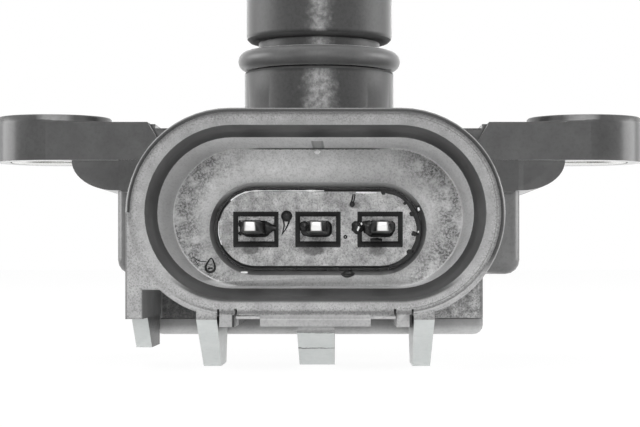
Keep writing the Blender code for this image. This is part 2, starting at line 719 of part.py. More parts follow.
def make_port_ring(material):
    radius = RING_SECTION / 2
    centre_radius = GROOVE_DIAMETER / 2 + radius + FIT
    section = arc((centre_radius, 0), (radius, radius), 0, 360, ARC_STEPS // 2)[:-1]
    mesh = mesh_from("port_o_ring", turned(section), 60)
    place("port_o_ring", mesh, material, (0, 0, GROOVE_SEAT_HEIGHT + radius + FIT))


def make_bolt_sleeves(material):
    """Metal sleeves that take the bolts' clamping force."""
    outer = SLEEVE_DIAMETER / 2
    inner = BOLT_HOLE_DIAMETER / 2
    edge = SLEEVE_EDGE
    low = FLANGE_BOTTOM
    profile = [
        (inner, low + edge),
        (inner + edge, low),
        (outer - edge, low),
        (outer, low + edge),
        (outer, -edge),
        (outer - edge, 0),
        (inner + edge, 0),
        (inner, -edge),
    ]
    mesh = mesh_from("bolt_sleeve", turned(profile))
    for side, name in ((-1, "left"), (1, "right")):
        place(f"bolt_sleeve_{name}", mesh, material, (side * EAR_SPACING / 2, 0, 0))


def terminal_x(index):
    return (index - 1) * TERMINAL_PITCH


def make_carrier(material):
    """The oval insert that holds the terminals, each in its own shallow drafted pocket."""
    outline = oval(CARRIER_WIDTH, CARRIER_HEIGHT)
    front = FLOOR_Y + FIT
    bm = prism_y(outline, front, CARRIER_BACK)
    round_edges(bm, lies_at(1, front), CARRIER_EDGE, 2)
    mesh = mesh_from("terminal_carrier", bm)
    carrier = place("terminal_carrier", mesh, material, (0, 0, TERMINAL_Z))
    half = CARRIER_WIDTH / 2 - CARRIER_STOP - 4 * FIT
    rise = CARRIER_HEIGHT / 2 - CARRIER_STOP / 2 - 4 * FIT
    heel = block(-half, half, CARRIER_BACK - OVERLAP, CHAMBER_FRONT - FIT, -rise, rise)
    add(carrier, "carrier_heel", heel, (0, 0, TERMINAL_Z))
    floor_y = front + POCKET_DEPTH
    slope = POCKET_DRAFT / POCKET_DEPTH
    for index, name in enumerate(TERMINAL_NAMES):
        spot = (terminal_x(index), 0, TERMINAL_Z)
        wide = 2 * OVERLAP * slope
        sections = (
            (front - OVERLAP, POCKET_WIDTH + wide, POCKET_HEIGHT + wide),
            (floor_y, POCKET_WIDTH - 2 * POCKET_DRAFT, POCKET_HEIGHT - 2 * POCKET_DRAFT),
        )
        rings = [on_xz(rectangle(w, h), y) for y, w, h in sections]
        cut(carrier, f"pocket_{name}", loft(rings), spot)
        well = oval_slot(RESIN_WELL_WIDTH, RESIN_WELL_HEIGHT)
        cut(carrier, f"well_{name}", prism_y(well, floor_y - OVERLAP, floor_y + RESIN_WELL_DEPTH), spot)
        slot = rectangle(BLADE_WIDTH + 2 * FIT, BLADE_THICKNESS + 2 * FIT)
        cut(carrier, f"blade_slot_{name}", prism_y(slot, floor_y, CHAMBER_FRONT + OVERLAP), spot)


def rectangle(width, height):
    return [(-width / 2, -height / 2), (width / 2, -height / 2), (width / 2, height / 2), (-width / 2, height / 2)]


def oval_slot(width, height):
    """A rectangle with well rounded corners, centred on its own axis."""
    return rounded_box(-width / 2, width / 2, -height / 2, height / 2, height * 0.36)


def make_carrier_sealant(material):
    """The resin that fills the gap round the carrier, a little below the floor."""
    front = FLOOR_Y + WINDOW_CHAMFER
    back = CARRIER_BACK - FIT
    outer = (CARRIER_WIDTH + 2 * CARRIER_GAP - 2 * FIT, CARRIER_HEIGHT + 2 * CARRIER_GAP - 2 * FIT)
    inner = (CARRIER_WIDTH + 2 * FIT, CARRIER_HEIGHT + 2 * FIT)
    mesh = mesh_from("carrier_sealant", prism_y(oval(*outer), front, back))
    sealant = place("carrier_sealant", mesh, material, (0, 0, TERMINAL_Z))
    hole = prism_y(oval(*inner), front - OVERLAP, back + OVERLAP)
    cut(sealant, "sealant_hole", hole, (0, 0, TERMINAL_Z))


def make_terminals(material, resin):
    """Three blades that run through the carrier and turn down into the board."""
    tip = FLOOR_Y + FIT + POCKET_DEPTH - BLADE_REACH
    half = BLADE_THICKNESS / 2
    leg_back = LEG_Y + half
    bend = (LEG_Y + half - BLADE_BEND, half - BLADE_BEND)
    outer = arc(bend, (BLADE_BEND, BLADE_BEND), 90, 0, CORNER_STEPS)
    inner_radius = BLADE_BEND - BLADE_THICKNESS
    inner = arc(bend, (inner_radius, inner_radius), 0, 90, CORNER_STEPS)
    points = [(tip, -BLADE_TIP_THICKNESS / 2), (tip, BLADE_TIP_THICKNESS / 2), (tip + BLADE_TAPER, half)]
    points += outer
    points += [(leg_back, -BLADE_LEG), (leg_back - BLADE_THICKNESS, -BLADE_LEG)]
    points += inner + [(tip + BLADE_TAPER, -half)]
    bm = prism_x(points, -BLADE_WIDTH / 2, BLADE_WIDTH / 2)
    for vert in bm.verts:
        if vert.co.y < tip + FIT / 10:
            vert.co.x *= BLADE_TIP_WIDTH / BLADE_WIDTH
    blade = mesh_from("terminal", bm)

    floor_y = FLOOR_Y + FIT + POCKET_DEPTH
    well = oval_slot(RESIN_WELL_WIDTH - 2 * FIT, RESIN_WELL_HEIGHT - 2 * FIT)
    back = floor_y + RESIN_WELL_DEPTH - FIT
    plug = mesh_from("terminal_resin", prism_y(well, floor_y - FIT, back))
    for index, name in enumerate(TERMINAL_NAMES):
        spot = (terminal_x(index), 0, TERMINAL_Z)
        place(f"terminal_{name}", blade, material, spot)
        seal = place(f"terminal_resin_{name}", plug, resin, spot)
        hole = rectangle(BLADE_WIDTH + 2 * FIT, BLADE_THICKNESS + 2 * FIT)
        cut(seal, f"resin_hole_{name}", prism_y(hole, floor_y - OVERLAP, back + OVERLAP), spot)


def make_cover(material, glue):
    """The cover that closes the chamber from below, its lip, and the glue round the lip."""
    half = BLOCK_WIDTH / 2
    top = BLOCK_FOOT - FIT
    bottom = top - COVER_THICKNESS
    outline = rounded_box(-half, half, BLOCK_FRONT, BLOCK_BACK, BLOCK_CORNER)
    bm = prism_z(outline, bottom, top)
    cover = place("cover", mesh_from("cover", round_edges(bm, lies_at(2, bottom), COVER_ROUND, 4)), material)
    inside = lambda gap: rounded_box(
        -CHAMBER_WIDTH / 2 + gap,
        CHAMBER_WIDTH / 2 - gap,
        CHAMBER_FRONT + gap,
        CHAMBER_BACK - gap,
        CHAMBER_CORNER - FIT,
    )
    lip_top = top + COVER_LIP_HEIGHT
    add(cover, "cover_lip", prism_z(inside(COVER_GLUE), top - OVERLAP, lip_top))
    cut(cover, "cover_hollow", prism_z(inside(COVER_GLUE + COVER_LIP), top, lip_top + OVERLAP))
    bead = prism_z(inside(FIT), top + 2 * FIT, lip_top - 2 * FIT)
    ring = place("cover_glue", mesh_from("cover_glue", bead), glue)
    cut(ring, "glue_hollow", prism_z(inside(COVER_GLUE - FIT), top - OVERLAP, lip_top + OVERLAP))


def make_board(material):
    """The circuit board on its shelf, slotted for the terminals' legs."""
    half = BOARD_WIDTH / 2
    outline = rounded_box(-half, half, BOARD_FRONT, BOARD_BACK, CHAMBER_CORNER)
    board = place("circuit_board", mesh_from("circuit_board", prism_z(outline, BOARD_BOTTOM, BOARD_TOP)), material)
    gap = 2 * FIT
    for index, name in enumerate(TERMINAL_NAMES):
        x = terminal_x(index)
        width = BLADE_WIDTH / 2 + gap
        slot = (x - width, x + width, LEG_FRONT - gap, LEG_FRONT + BLADE_THICKNESS + gap)
        cut(board, f"leg_slot_{name}", block(*slot, BOARD_BOTTOM - OVERLAP, BOARD_TOP + OVERLAP))


def make_pressure_cell(ceramic, glass, silicon, gel, rubber):
    """The pressure cell under the port: case, glass base, die, gel and the seal on top."""
    side = CELL_SIDE / 2
    base = BOARD_TOP + FIT
    case = block(-side, side, -side, side, base, CELL_TOP)
    round_edges(case, lambda edge: abs(edge.verts[0].co.z - edge.verts[1].co.z) > FIT, CELL_CORNER, 2)
    body = place("cell_case", mesh_from("cell_case", case), ceramic)
    well_floor = base + CELL_FLOOR
    cut(body, "cell_well", cylinder(CELL_WELL, well_floor, CELL_TOP + OVERLAP, TURN_STEPS // 2))

    def stack(name, width, low, thickness, material):
        half = width / 2
        solid = block(-half, half, -half, half, low, low + thickness)
        place(name, mesh_from(name, solid), material)
        return low + thickness + FIT

    level = stack("cell_glass_base", GLASS_SIDE, well_floor + FIT, GLASS_THICKNESS, glass)
    level = stack("cell_die", DIE_SIDE, level, DIE_THICKNESS, silicon)
    gel_top = level + GEL_COVERAGE
    fill = cylinder(CELL_WELL - 2 * FIT, well_floor + FIT, gel_top, TURN_STEPS // 2)
    filling = place("cell_gel", mesh_from("cell_gel", fill), gel)
    half = GLASS_SIDE / 2 + FIT
    cut(filling, "gel_hollow", block(-half, half, -half, half, well_floor - OVERLAP, level))

    inner = NECK_BORE / 2 + FIT
    outer = NECK_BORE / 2 + SEAL_WALL
    low = CELL_TOP + FIT
    high = CHAMBER_ROOF + SEAL_RECESS - FIT
    profile = [(inner, low), (outer, low), (outer, high), (inner, high)]
    place("cell_seal_ring", mesh_from("cell_seal_ring", turned(profile, TURN_STEPS // 2)), rubber)


def make_components(plastic, ceramic, resistor_body):
    """What is soldered below the board: the signal chip, three capacitors and a resistor."""
    top = BOARD_BOTTOM - FIT
    middle = (BOARD_FRONT + BOARD_BACK) / 2 + CHIP_SETBACK
    length = CHIP_LENGTH / 2
    width = CHIP_WIDTH / 2
    lead_drop = 0.5 * CHIP_THICKNESS
    body = block(-length, length, -width, width, top - CHIP_THICKNESS, top - 2 * FIT)
    chip = place("signal_chip", mesh_from("signal_chip", body), plastic, (0, middle, 0))
    for row in range(4):
        x = (row - 1.5) * CHIP_LENGTH / 4
        sides = (x - CHIP_LEAD_WIDTH / 2, x + CHIP_LEAD_WIDTH / 2)
        reach = width + CHIP_LEAD
        lead = block(*sides, -reach, reach, top - lead_drop, top - lead_drop + 3 * FIT)
        add(chip, f"chip_lead_{row}", lead, (0, middle, 0))
        for end in (-1, 1):
            edges = sorted((end * reach, end * (reach - CHIP_FOOT)))
            foot = block(*sides, *edges, top - lead_drop, top)
            add(chip, f"chip_foot_{row}_{'front' if end < 0 else 'back'}", foot, (0, middle, 0))

    half = CAPACITOR_LENGTH / 2
    side = CAPACITOR_WIDTH / 2
    solid = block(-half, half, -side, side, top - CAPACITOR_HEIGHT, top)
    capacitor = mesh_from("capacitor", round_edges(solid, lambda edge: True, CAPACITOR_EDGE, 1))
    spread = CHIP_LENGTH / 2 + CAPACITOR_LENGTH
    spots = ((-spread, middle - CAPACITOR_WIDTH), (-spread, middle + CAPACITOR_WIDTH), (spread, middle))
    for index, (x, y) in enumerate(spots):
        place(f"capacitor_{index + 1}", capacitor, ceramic, (x, y, 0))
    half = RESISTOR_LENGTH / 2
    side = RESISTOR_WIDTH / 2
    solid = block(-half, half, -side, side, top - RESISTOR_HEIGHT, top)
    place("resistor", mesh_from("resistor", solid), resistor_body, (spread, middle + 2 * CAPACITOR_WIDTH, 0))


clear_scene()
SENSOR = bpy.data.objects.new("sensor", None)
bpy.context.scene.collection.objects.link(SENSOR)

black_plastic = make_material("moulded_polyester", (0.045, 0.045, 0.045), 0.5)
carrier_plastic = make_material("carrier_polyester", (0.05, 0.05, 0.05), 0.55)
black_rubber = make_material("o_ring_rubber", (0.02, 0.02, 0.02), 0.6)
plated_steel = make_material("plated_steel", (0.8, 0.8, 0.78), 0.25, 1.0)
tinned_bronze = make_material("tinned_bronze", (0.8, 0.8, 0.78), 0.22, 1.0)
sealing_resin = make_material("sealing_resin", (0.015, 0.015, 0.015), 0.12)
board_laminate = make_material("board_laminate", (0.05, 0.22, 0.09), 0.45)
white_ceramic = make_material("cell_ceramic", (0.82, 0.8, 0.75), 0.5)
base_glass = make_material("cell_glass", (0.7, 0.8, 0.8), 0.1)
bare_silicon = make_material("cell_silicon", (0.25, 0.26, 0.3), 0.15, 0.6)
soft_gel = make_material("cell_gel", (0.75, 0.78, 0.8), 0.08)
chip_plastic = make_material("chip_plastic", (0.03, 0.03, 0.03), 0.5)
capacitor_ceramic = make_material("capacitor_ceramic", (0.45, 0.32, 0.2), 0.4)
resistor_glaze = make_material("resistor_glaze", (0.05, 0.05, 0.06), 0.35)

make_housing(black_plastic)
make_port_ring(black_rubber)
make_bolt_sleeves(plated_steel)
make_carrier(carrier_plastic)
make_carrier_sealant(sealing_resin)
make_terminals(tinned_bronze, sealing_resin)
make_cover(black_plastic, sealing_resin)
make_board(board_laminate)
make_pressure_cell(white_ceramic, base_glass, bare_silicon, soft_gel, black_rubber)
make_components(chip_plastic, capacitor_ceramic, resistor_glaze)
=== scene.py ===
"""The look of the manifold absolute pressure sensor: its finishes, the resin round its terminals, the
studio and the camera. Patterns and drawn shapes are in millimetres, and finished meshes in metres."""

import math

import bmesh
import bpy
from mathutils import Matrix, Vector, noise


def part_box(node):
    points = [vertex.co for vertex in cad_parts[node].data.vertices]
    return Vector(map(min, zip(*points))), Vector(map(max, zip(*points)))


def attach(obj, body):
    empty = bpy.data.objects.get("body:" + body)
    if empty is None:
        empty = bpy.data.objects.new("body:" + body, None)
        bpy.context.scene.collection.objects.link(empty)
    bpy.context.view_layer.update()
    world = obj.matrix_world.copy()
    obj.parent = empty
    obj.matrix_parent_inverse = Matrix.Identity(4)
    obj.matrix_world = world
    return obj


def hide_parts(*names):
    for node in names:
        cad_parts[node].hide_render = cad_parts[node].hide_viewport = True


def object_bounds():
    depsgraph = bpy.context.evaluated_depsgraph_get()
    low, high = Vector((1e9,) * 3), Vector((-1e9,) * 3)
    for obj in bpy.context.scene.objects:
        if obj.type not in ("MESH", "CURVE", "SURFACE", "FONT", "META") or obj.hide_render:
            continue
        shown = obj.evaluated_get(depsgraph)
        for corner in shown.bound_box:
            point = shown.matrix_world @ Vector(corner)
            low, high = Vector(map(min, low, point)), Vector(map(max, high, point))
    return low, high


MM = 0.001

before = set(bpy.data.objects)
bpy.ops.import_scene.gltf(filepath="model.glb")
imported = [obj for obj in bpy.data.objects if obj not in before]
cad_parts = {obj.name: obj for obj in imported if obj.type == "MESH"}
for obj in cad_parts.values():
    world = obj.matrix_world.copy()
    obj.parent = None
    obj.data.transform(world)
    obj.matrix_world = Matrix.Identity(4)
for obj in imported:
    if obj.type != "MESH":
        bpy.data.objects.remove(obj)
cad_box = [list(corner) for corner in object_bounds()]

# Places on the sensor, in millimetres, that the finishes follow. A reach is half an oval's straight part
SHROUD_Z = -8.5775
SHROUD_REACH = 6.385
MOUTH_REACH = 6.23
MOUTH_RADIUS = 6.0
CARRIER_Z = -9.5375
CARRIER_REACH = 5.05
CARRIER_RADIUS = 3.155
RIM_Y = -20.0
FLOOR_Y = -6.8
CARRIER_Y = -6.75
POCKET_Y = -6.15
PITCH = 5.08

# The depth of a moulded skin's dents, in millimetres
DENT = 0.03

# Settings that many nodes share: a soft rise, and a colour that tints, covers or lightens another
SOFT_STEP = {"interpolation_type": "SMOOTHSTEP"}
TINT = {"data_type": "RGBA", "blend_type": "MULTIPLY"}
COVER = {"data_type": "RGBA", "blend_type": "MIX"}
LIGHTEN = {"data_type": "RGBA", "blend_type": "ADD"}

# The places of a Mix node's share and two colours among its inputs
SHARE = 0
UNDER = 6
OVER = 7

# Noise like soft clouds. Each noise's scale is 1 divided by the size of its patches in millimetres
CLOUDY = {"Detail": 3.0, "Roughness": 0.6}
WHITE = (1, 1, 1, 1)

# Settings of every rounded edge
ROUNDING = {"affect": "EDGES", "profile": 0.5, "material": -1, "clamp_overlap": True}


def linear(hex_colour):
    """An sRGB hex colour as linear RGBA."""
    channels = [int(hex_colour[i : i + 2], 16) / 255 for i in (1, 3, 5)]
    turned = [c / 12.92 if c <= 0.04045 else ((c + 0.055) / 1.055) ** 2.4 for c in channels]
    return (*turned, 1.0)


def grey(level):
    """A neutral grey's hex colour, from 0 to 255."""
    return f"#{round(level):02x}{round(level):02x}{round(level):02x}"


def feed(tree, node, links):
    """Gives a node's inputs another node, one of its sockets or a value.

    links names the inputs or lists them in their order, which for MapRange is a value, the two ends of
    its range and what they become.
    """
    for name, value in links.items() if isinstance(links, dict) else enumerate(links):
        if isinstance(value, bpy.types.Node):
            value = next(socket for socket in value.outputs if socket.enabled)
        if isinstance(value, bpy.types.NodeSocket):
            tree.links.new(value, node.inputs[name])
        else:
            node.inputs[name].default_value = value


def put(tree, kind, links=(), stops=(), **settings):
    """Adds a node with its settings, its links and the stops of its colour ramp."""
    made = tree.nodes.new(f"ShaderNode{kind}")
    for name, value in settings.items():
        setattr(made, name, value)
    feed(tree, made, links)
    if stops:
        elements = made.color_ramp.elements
        while len(elements) < len(stops):
            elements.new(1.0)
        for element, (place, colour) in zip(elements, stops):
            element.position = place
            element.color = linear(colour)
    return made


def place_in_mm(tree):
    """The place on the piece, in millimetres, which every pattern follows."""
    place = put(tree, "TexCoord").outputs["Object"]
    return put(tree, "VectorMath", {0: place, "Scale": 1 / MM}, operation="SCALE")


def shade_along(tree, value, low, high, stops):
    """A shade that follows a value as it goes from low to high."""
    share = put(tree, "MapRange", [value, low, high])
    return put(tree, "ValToRGB", [share], stops)


def from_oval(tree, place, reach, centre_z):
    """How far a place is from the core line of an oval that lies along X, in millimetres."""
    x, _, z = put(tree, "SeparateXYZ", [place]).outputs
    side = put(tree, "Math", [x], operation="ABSOLUTE")
    past_end = put(tree, "Math", [side, reach], operation="SUBTRACT")
    across = put(tree, "Math", [past_end, 0.0], operation="MAXIMUM")
    up = put(tree, "Math", [z, centre_z], operation="SUBTRACT")
    joined = put(tree, "CombineXYZ", [across, 0.0, up])
    return put(tree, "VectorMath", [joined], operation="LENGTH")


def rim_grain(tree, place):
    """1 where the rim is peppered, in its outer half, and about a third where its inner half is smooth."""
    distance = from_oval(tree, place, SHROUD_REACH, SHROUD_Z)
    clouds = put(tree, "TexNoise", {"Vector": place, "Scale": 1 / 0.6, **CLOUDY})
    ragged = put(tree, "Math", [clouds, 0.5, distance], operation="MULTIPLY_ADD")
    return put(tree, "MapRange", [ragged, 6.95, 7.3, 0.35, 1.0])


# The tones below give layers for a finish: a colour that multiplies it, and the share of it that shows


def rim_tone(tree, place):
    """A dark, peppered line inside the rim's rounded edge, a dark lower lip, a seam line at the right, and
    painted shade that darkens the rim towards its top.
    """
    distance = from_oval(tree, place, SHROUD_REACH, SHROUD_Z)
    x, _, z = put(tree, "SeparateXYZ", [place]).outputs
    pepper = put(tree, "TexNoise", {"Vector": place, "Scale": 1 / 0.2, **CLOUDY})
    ragged = put(tree, "Math", [pepper, 0.3, distance], operation="MULTIPLY_ADD")
    stops = [
        (0.0, "#e8e8e8"),
        (0.5, "#f8f8f8"),
        (0.62, "#e4e4e4"),
        (0.7, "#acacac"),
        (0.8, "#acacac"),
        (0.9, "#f8f8f8"),
    ]
    rings = shade_along(tree, ragged, 6.5, 8.0, stops)
    left = put(tree, "MapRange", [x, -8.0, -11.0], **SOFT_STEP)
    below = put(tree, "MapRange", [z, -8.0, -10.0, 0.0, 0.75], **SOFT_STEP)
    corner = put(tree, "Math", [left, below], operation="MULTIPLY")
    rings = put(tree, "Mix", {SHARE: corner, UNDER: rings, OVER: linear("#f4f4f4")}, **COVER)
    # Painted shade: darker towards the top, as the rim is lit more from below
    painted_top_shade = shade_along(tree, z, -16.0, -1.5, [(0.0, "#ffffff"), (0.3, "#f8f8f8"), (1.0, "#e0e0e0")])
    stops = [(0.0, "#6c6c6c"), (0.35, "#848484"), (0.7, "#e8e8e8"), (1.0, "#ffffff")]
    lip = shade_along(tree, distance, 6.54, 6.8, stops)
    low = put(tree, "MapRange", [z, -13.0, -14.6], **SOFT_STEP)
    seam = shade_along(tree, distance, 6.9, 7.4, [(0.48, "#ffffff"), (0.56, "#b4b4b4"), (0.66, "#ffffff")])
    right = put(tree, "MapRange", [x, 6.0, 8.5], **SOFT_STEP)
    left_edge = shade_along(tree, x, -14.24, -14.0, [(0.0, "#a0a0a0"), (0.4, "#b0b0b0"), (0.9, "#ffffff")])
    return [(rings, 1.0), (painted_top_shade, 1.0), (lip, low), (seam, right), (left_edge, 1.0)]


def edge_tone(tree, place):
    """The rim's round edge is painted dark as the room it mirrors, with a painted highlight as a pale line
    outermost, and painted light under its lower corners.
    """
    distance = from_oval(tree, place, SHROUD_REACH, SHROUD_Z)
    stops = [(0.0, "#383838"), (0.6, "#404040"), (0.8, "#a0a0a0"), (1.0, "#a8a8a8")]
    line = shade_along(tree, distance, 7.5, 7.85, stops)
    z = put(tree, "SeparateXYZ", [place]).outputs["Z"]
    high = put(tree, "MapRange", [z, -14.0, -11.5], **SOFT_STEP)
    return [(put(tree, "Mix", {SHARE: high, UNDER: linear("#c0c0c0"), OVER: line}, **COVER), 1.0)]


def guide_tone(tree, place):
    """A painted highlight as a pale line across the pad, level with the rim's lower edge, and painted shade
    as a dark slot at each rib.
    """
    x, _, z = put(tree, "SeparateXYZ", [place]).outputs
    stops = [(0.4, "#ececec"), (0.5, "#ffffff"), (0.7, "#ffffff"), (0.8, "#dcdcdc"), (1.0, "#ececec")]
    line = shade_along(tree, z, -16.8, -16.4, stops)
    side = put(tree, "Math", [x], operation="ABSOLUTE")
    middle = put(tree, "MapRange", [side, 6.2, 6.0], **SOFT_STEP)
    shown = put(tree, "Mix", {SHARE: middle, UNDER: linear("#ececec"), OVER: line}, **COVER)
    # Painted shade: a dark slot beside each rib
    left_slot = shade_along(tree, x, -6.4, -6.0, [(0.35, "#ffffff"), (0.5, "#3c3c3c")])
    left = put(tree, "MapRange", [x, -5.94, -5.98], **SOFT_STEP)
    right_slot = shade_along(tree, x, 6.8, 7.1, [(0.7, "#ffffff"), (0.85, "#3c3c3c")])
    right = put(tree, "MapRange", [x, 7.26, 7.22], **SOFT_STEP)
    return [(shown, 1.0), (left_slot, left), (right_slot, right)]


def side_tone(tree, place):
    """Painted shade: the sides of the middle rails are dark at the top, in the slot beside each rib."""
    z = put(tree, "SeparateXYZ", [place]).outputs["Z"]
    stops = [(0.0, "#ffffff"), (0.4, "#e8e8e8"), (0.75, "#707070"), (0.9, "#404040")]
    return [(shade_along(tree, z, -18.1, -17.0, stops), 1.0)]


def block_tone(tree, place):
    """Painted shade: the block is dark at its left corner, where the key's wall shades it, and at its right
    edge.
    """
    x = put(tree, "SeparateXYZ", [place]).outputs["X"]
    left = shade_along(tree, x, -7.0, -6.0, [(0.0, "#9a9a9a"), (1.0, "#ffffff")])
    right = shade_along(tree, x, 13.2, 13.6, [(0.0, "#ffffff"), (0.4, "#a8a8a8"), (1.0, "#989898")])
    return [(left, 1.0), (right, 1.0)]


def floor_tone(tree, place):
    """Smooth round the carrier, peppered and dragged at both ends, and edged with a painted line along the
    wall: a highlight, with shade at the top.
    """
    near = from_oval(tree, place, CARRIER_REACH, CARRIER_Z)
    stops = [(0.0, "#cccccc"), (0.2, "#e4e4e4"), (0.5, "#f4f4f4"), (1.0, "#ffffff")]
    toned = shade_along(tree, near, 3.8, 6.4, stops)

    # Where the pepper and the drag marks show: in clouds, outwards at the two ends
    distance = from_oval(tree, place, MOUTH_REACH, SHROUD_Z)
    x, _, z = put(tree, "SeparateXYZ", [place]).outputs
    side = put(tree, "Math", [x], operation="ABSOLUTE")
    ends = put(tree, "MapRange", [side, 4.5, 9.5], **SOFT_STEP)
    outward = put(tree, "MapRange", [distance, 2.6, 4.6], **SOFT_STEP)
    clouds = put(tree, "TexNoise", {"Vector": place, "Scale": 1 / 1.1, **CLOUDY})
    cloudy = put(tree, "MapRange", [clouds, 0.3, 0.6], **SOFT_STEP)
    worn = put(tree, "Math", [ends, outward], operation="MULTIPLY")
    worn = put(tree, "Math", [worn, cloudy], operation="MULTIPLY")
    half_worn = put(tree, "Math", [worn, 0.5], operation="MULTIPLY")
    pepper = put(tree, "TexNoise", {"Vector": place, "Scale": 1 / 0.2, "Detail": 3.0, "Roughness": 0.75})
    specks = put(tree, "ValToRGB", [pepper], [(0.42, "#808080"), (0.58, "#f0f0f0")])

    # The drag marks are 0.28 mm apart on the way round the mouth and six times as long outwards
    past_end = put(tree, "Math", [side, MOUTH_REACH], operation="SUBTRACT")
    across = put(tree, "Math", [past_end, 0.0], operation="MAXIMUM")
    up = put(tree, "Math", [z, SHROUD_Z], operation="SUBTRACT")
    turn = put(tree, "Math", [up, across], operation="ARCTAN2")
    straight = put(tree, "Math", [side, MOUTH_REACH], operation="MINIMUM")
    way_round = put(tree, "Math", [turn, MOUTH_RADIUS, straight], operation="MULTIPLY_ADD")
    outwards = put(tree, "Math", [distance, 0.16], operation="MULTIPLY")
    spread = put(tree, "CombineXYZ", [way_round, outwards])
    drags = put(tree, "TexNoise", {"Vector": spread, "Scale": 3.6, "Detail": 4.0, "Roughness": 0.8})
    drag = put(tree, "ValToRGB", [drags], [(0.4, "#a8a8a8"), (0.6, "#ffffff")])

    shade = shade_along(tree, x, -2.0, 4.0, [(0.0, "#ffffff"), (1.0, "#e0e0e0")])
    upper = put(tree, "MapRange", [z, -7.0, -6.0], **SOFT_STEP)
    for over, share in ((specks, worn), (drag, half_worn), (shade, upper)):
        toned = put(tree, "Mix", {SHARE: share, UNDER: toned, OVER: over}, **TINT)

    # The line along the wall is a painted highlight, and painted shade at the middle of the top
    edge = put(tree, "Math", [pepper, 0.16, distance], operation="MULTIPLY_ADD")
    outer = put(tree, "MapRange", [edge, 5.58, 5.62], **SOFT_STEP)
    high = put(tree, "MapRange", [z, -3.6, -3.2], **SOFT_STEP)
    middle = put(tree, "MapRange", [side, 6.6, 4.2], **SOFT_STEP)
    top = put(tree, "Math", [high, middle], operation="MULTIPLY")
    line = put(tree, "Mix", {SHARE: top, UNDER: WHITE, OVER: linear("#5c5c5c")}, **COVER)
    return [(put(tree, "Mix", {SHARE: outer, UNDER: toned, OVER: line}, **COVER), 1.0)]


def wall_tone(tree, place):
    """The socket's wall has painted light that grows towards the floor, with a painted highlight line there,
    painted shade on its left side, and the gate left a dark mark at its top.
    """
    x, y, z = put(tree, "SeparateXYZ", [place]).outputs
    stops = [(0.0, "#e0e0e0"), (0.5, "#ececec"), (0.95, "#f8f8f8"), (0.985, "#ffffff")]
    painted_light_inwards = shade_along(tree, y, RIM_Y + 1.2, FLOOR_Y, stops)
    off = put(tree, "Math", [x, 0.05], operation="SUBTRACT")
    off = put(tree, "Math", [off], operation="ABSOLUTE")
    clouds = put(tree, "TexNoise", {"Vector": place, "Scale": 1 / 0.3, **CLOUDY})
    ragged = put(tree, "Math", [clouds, 0.2, off], operation="MULTIPLY_ADD")
    stops = [(0.0, "#b0b0b0"), (0.6, "#a8a8a8"), (0.75, "#707070"), (0.9, "#808080"), (1.0, "#ffffff")]
    gate = shade_along(tree, ragged, 0.0, 0.6, stops)
    upper = put(tree, "MapRange", [z, -4.0, -3.0], **SOFT_STEP)
    deep = put(tree, "MapRange", [y, -15.4, -14.4], **SOFT_STEP)
    mark = put(tree, "Math", [upper, deep], operation="MULTIPLY")
    left = shade_along(tree, x, -12.0, -7.0, [(0.0, "#d8d8d8"), (0.5, "#e0e0e0"), (1.0, "#ffffff")])
    return [(painted_light_inwards, 1.0), (gate, mark), (left, 1.0)]


def window_tone(tree, place):
    """The polished edge of the carrier's window is painted light at its top, where it faces down to the
    bright floor, and darker at its sides and bottom.
    """
    z = put(tree, "SeparateXYZ", [place]).outputs["Z"]
    return [(shade_along(tree, z, -10.5, -6.4, [(0.0, "#a8a8a8"), (0.6, "#848484"), (1.0, "#ffffff")]), 1.0)]


def carrier_tone(tree, place):
    """Greyer smudges below the pockets and along the carrier's left end."""
    layers = []
    clouds = put(tree, "TexNoise", {"Vector": place, "Scale": 1 / 0.35, **CLOUDY})
    for x, z, half_width, half_height, shade in (
        (-5.5, -11.25, 0.75, 0.42, "#b6b6b6"),
        (-0.35, -11.3, 0.95, 0.45, "#b6b6b6"),
        (4.85, -11.3, 0.75, 0.45, "#b6b6b6"),
        (-7.45, -9.9, 0.45, 1.6, "#dadada"),
        (3.0, -7.6, 0.5, 0.3, "#b6b6b6"),
    ):
        moved = (-x / half_width, 0, -z / half_height)
        scaled = (1 / half_width, 0, 1 / half_height)
        centred = put(tree, "Mapping", {"Vector": place, "Location": moved, "Scale": scaled})
        length = put(tree, "VectorMath", [centred], operation="LENGTH")
        ragged = put(tree, "Math", [clouds, 0.8, length], operation="MULTIPLY_ADD")
        layers.append((linear(shade), put(tree, "MapRange", [ragged, 1.15, 1.5, 1.0, 0.0])))
    return layers


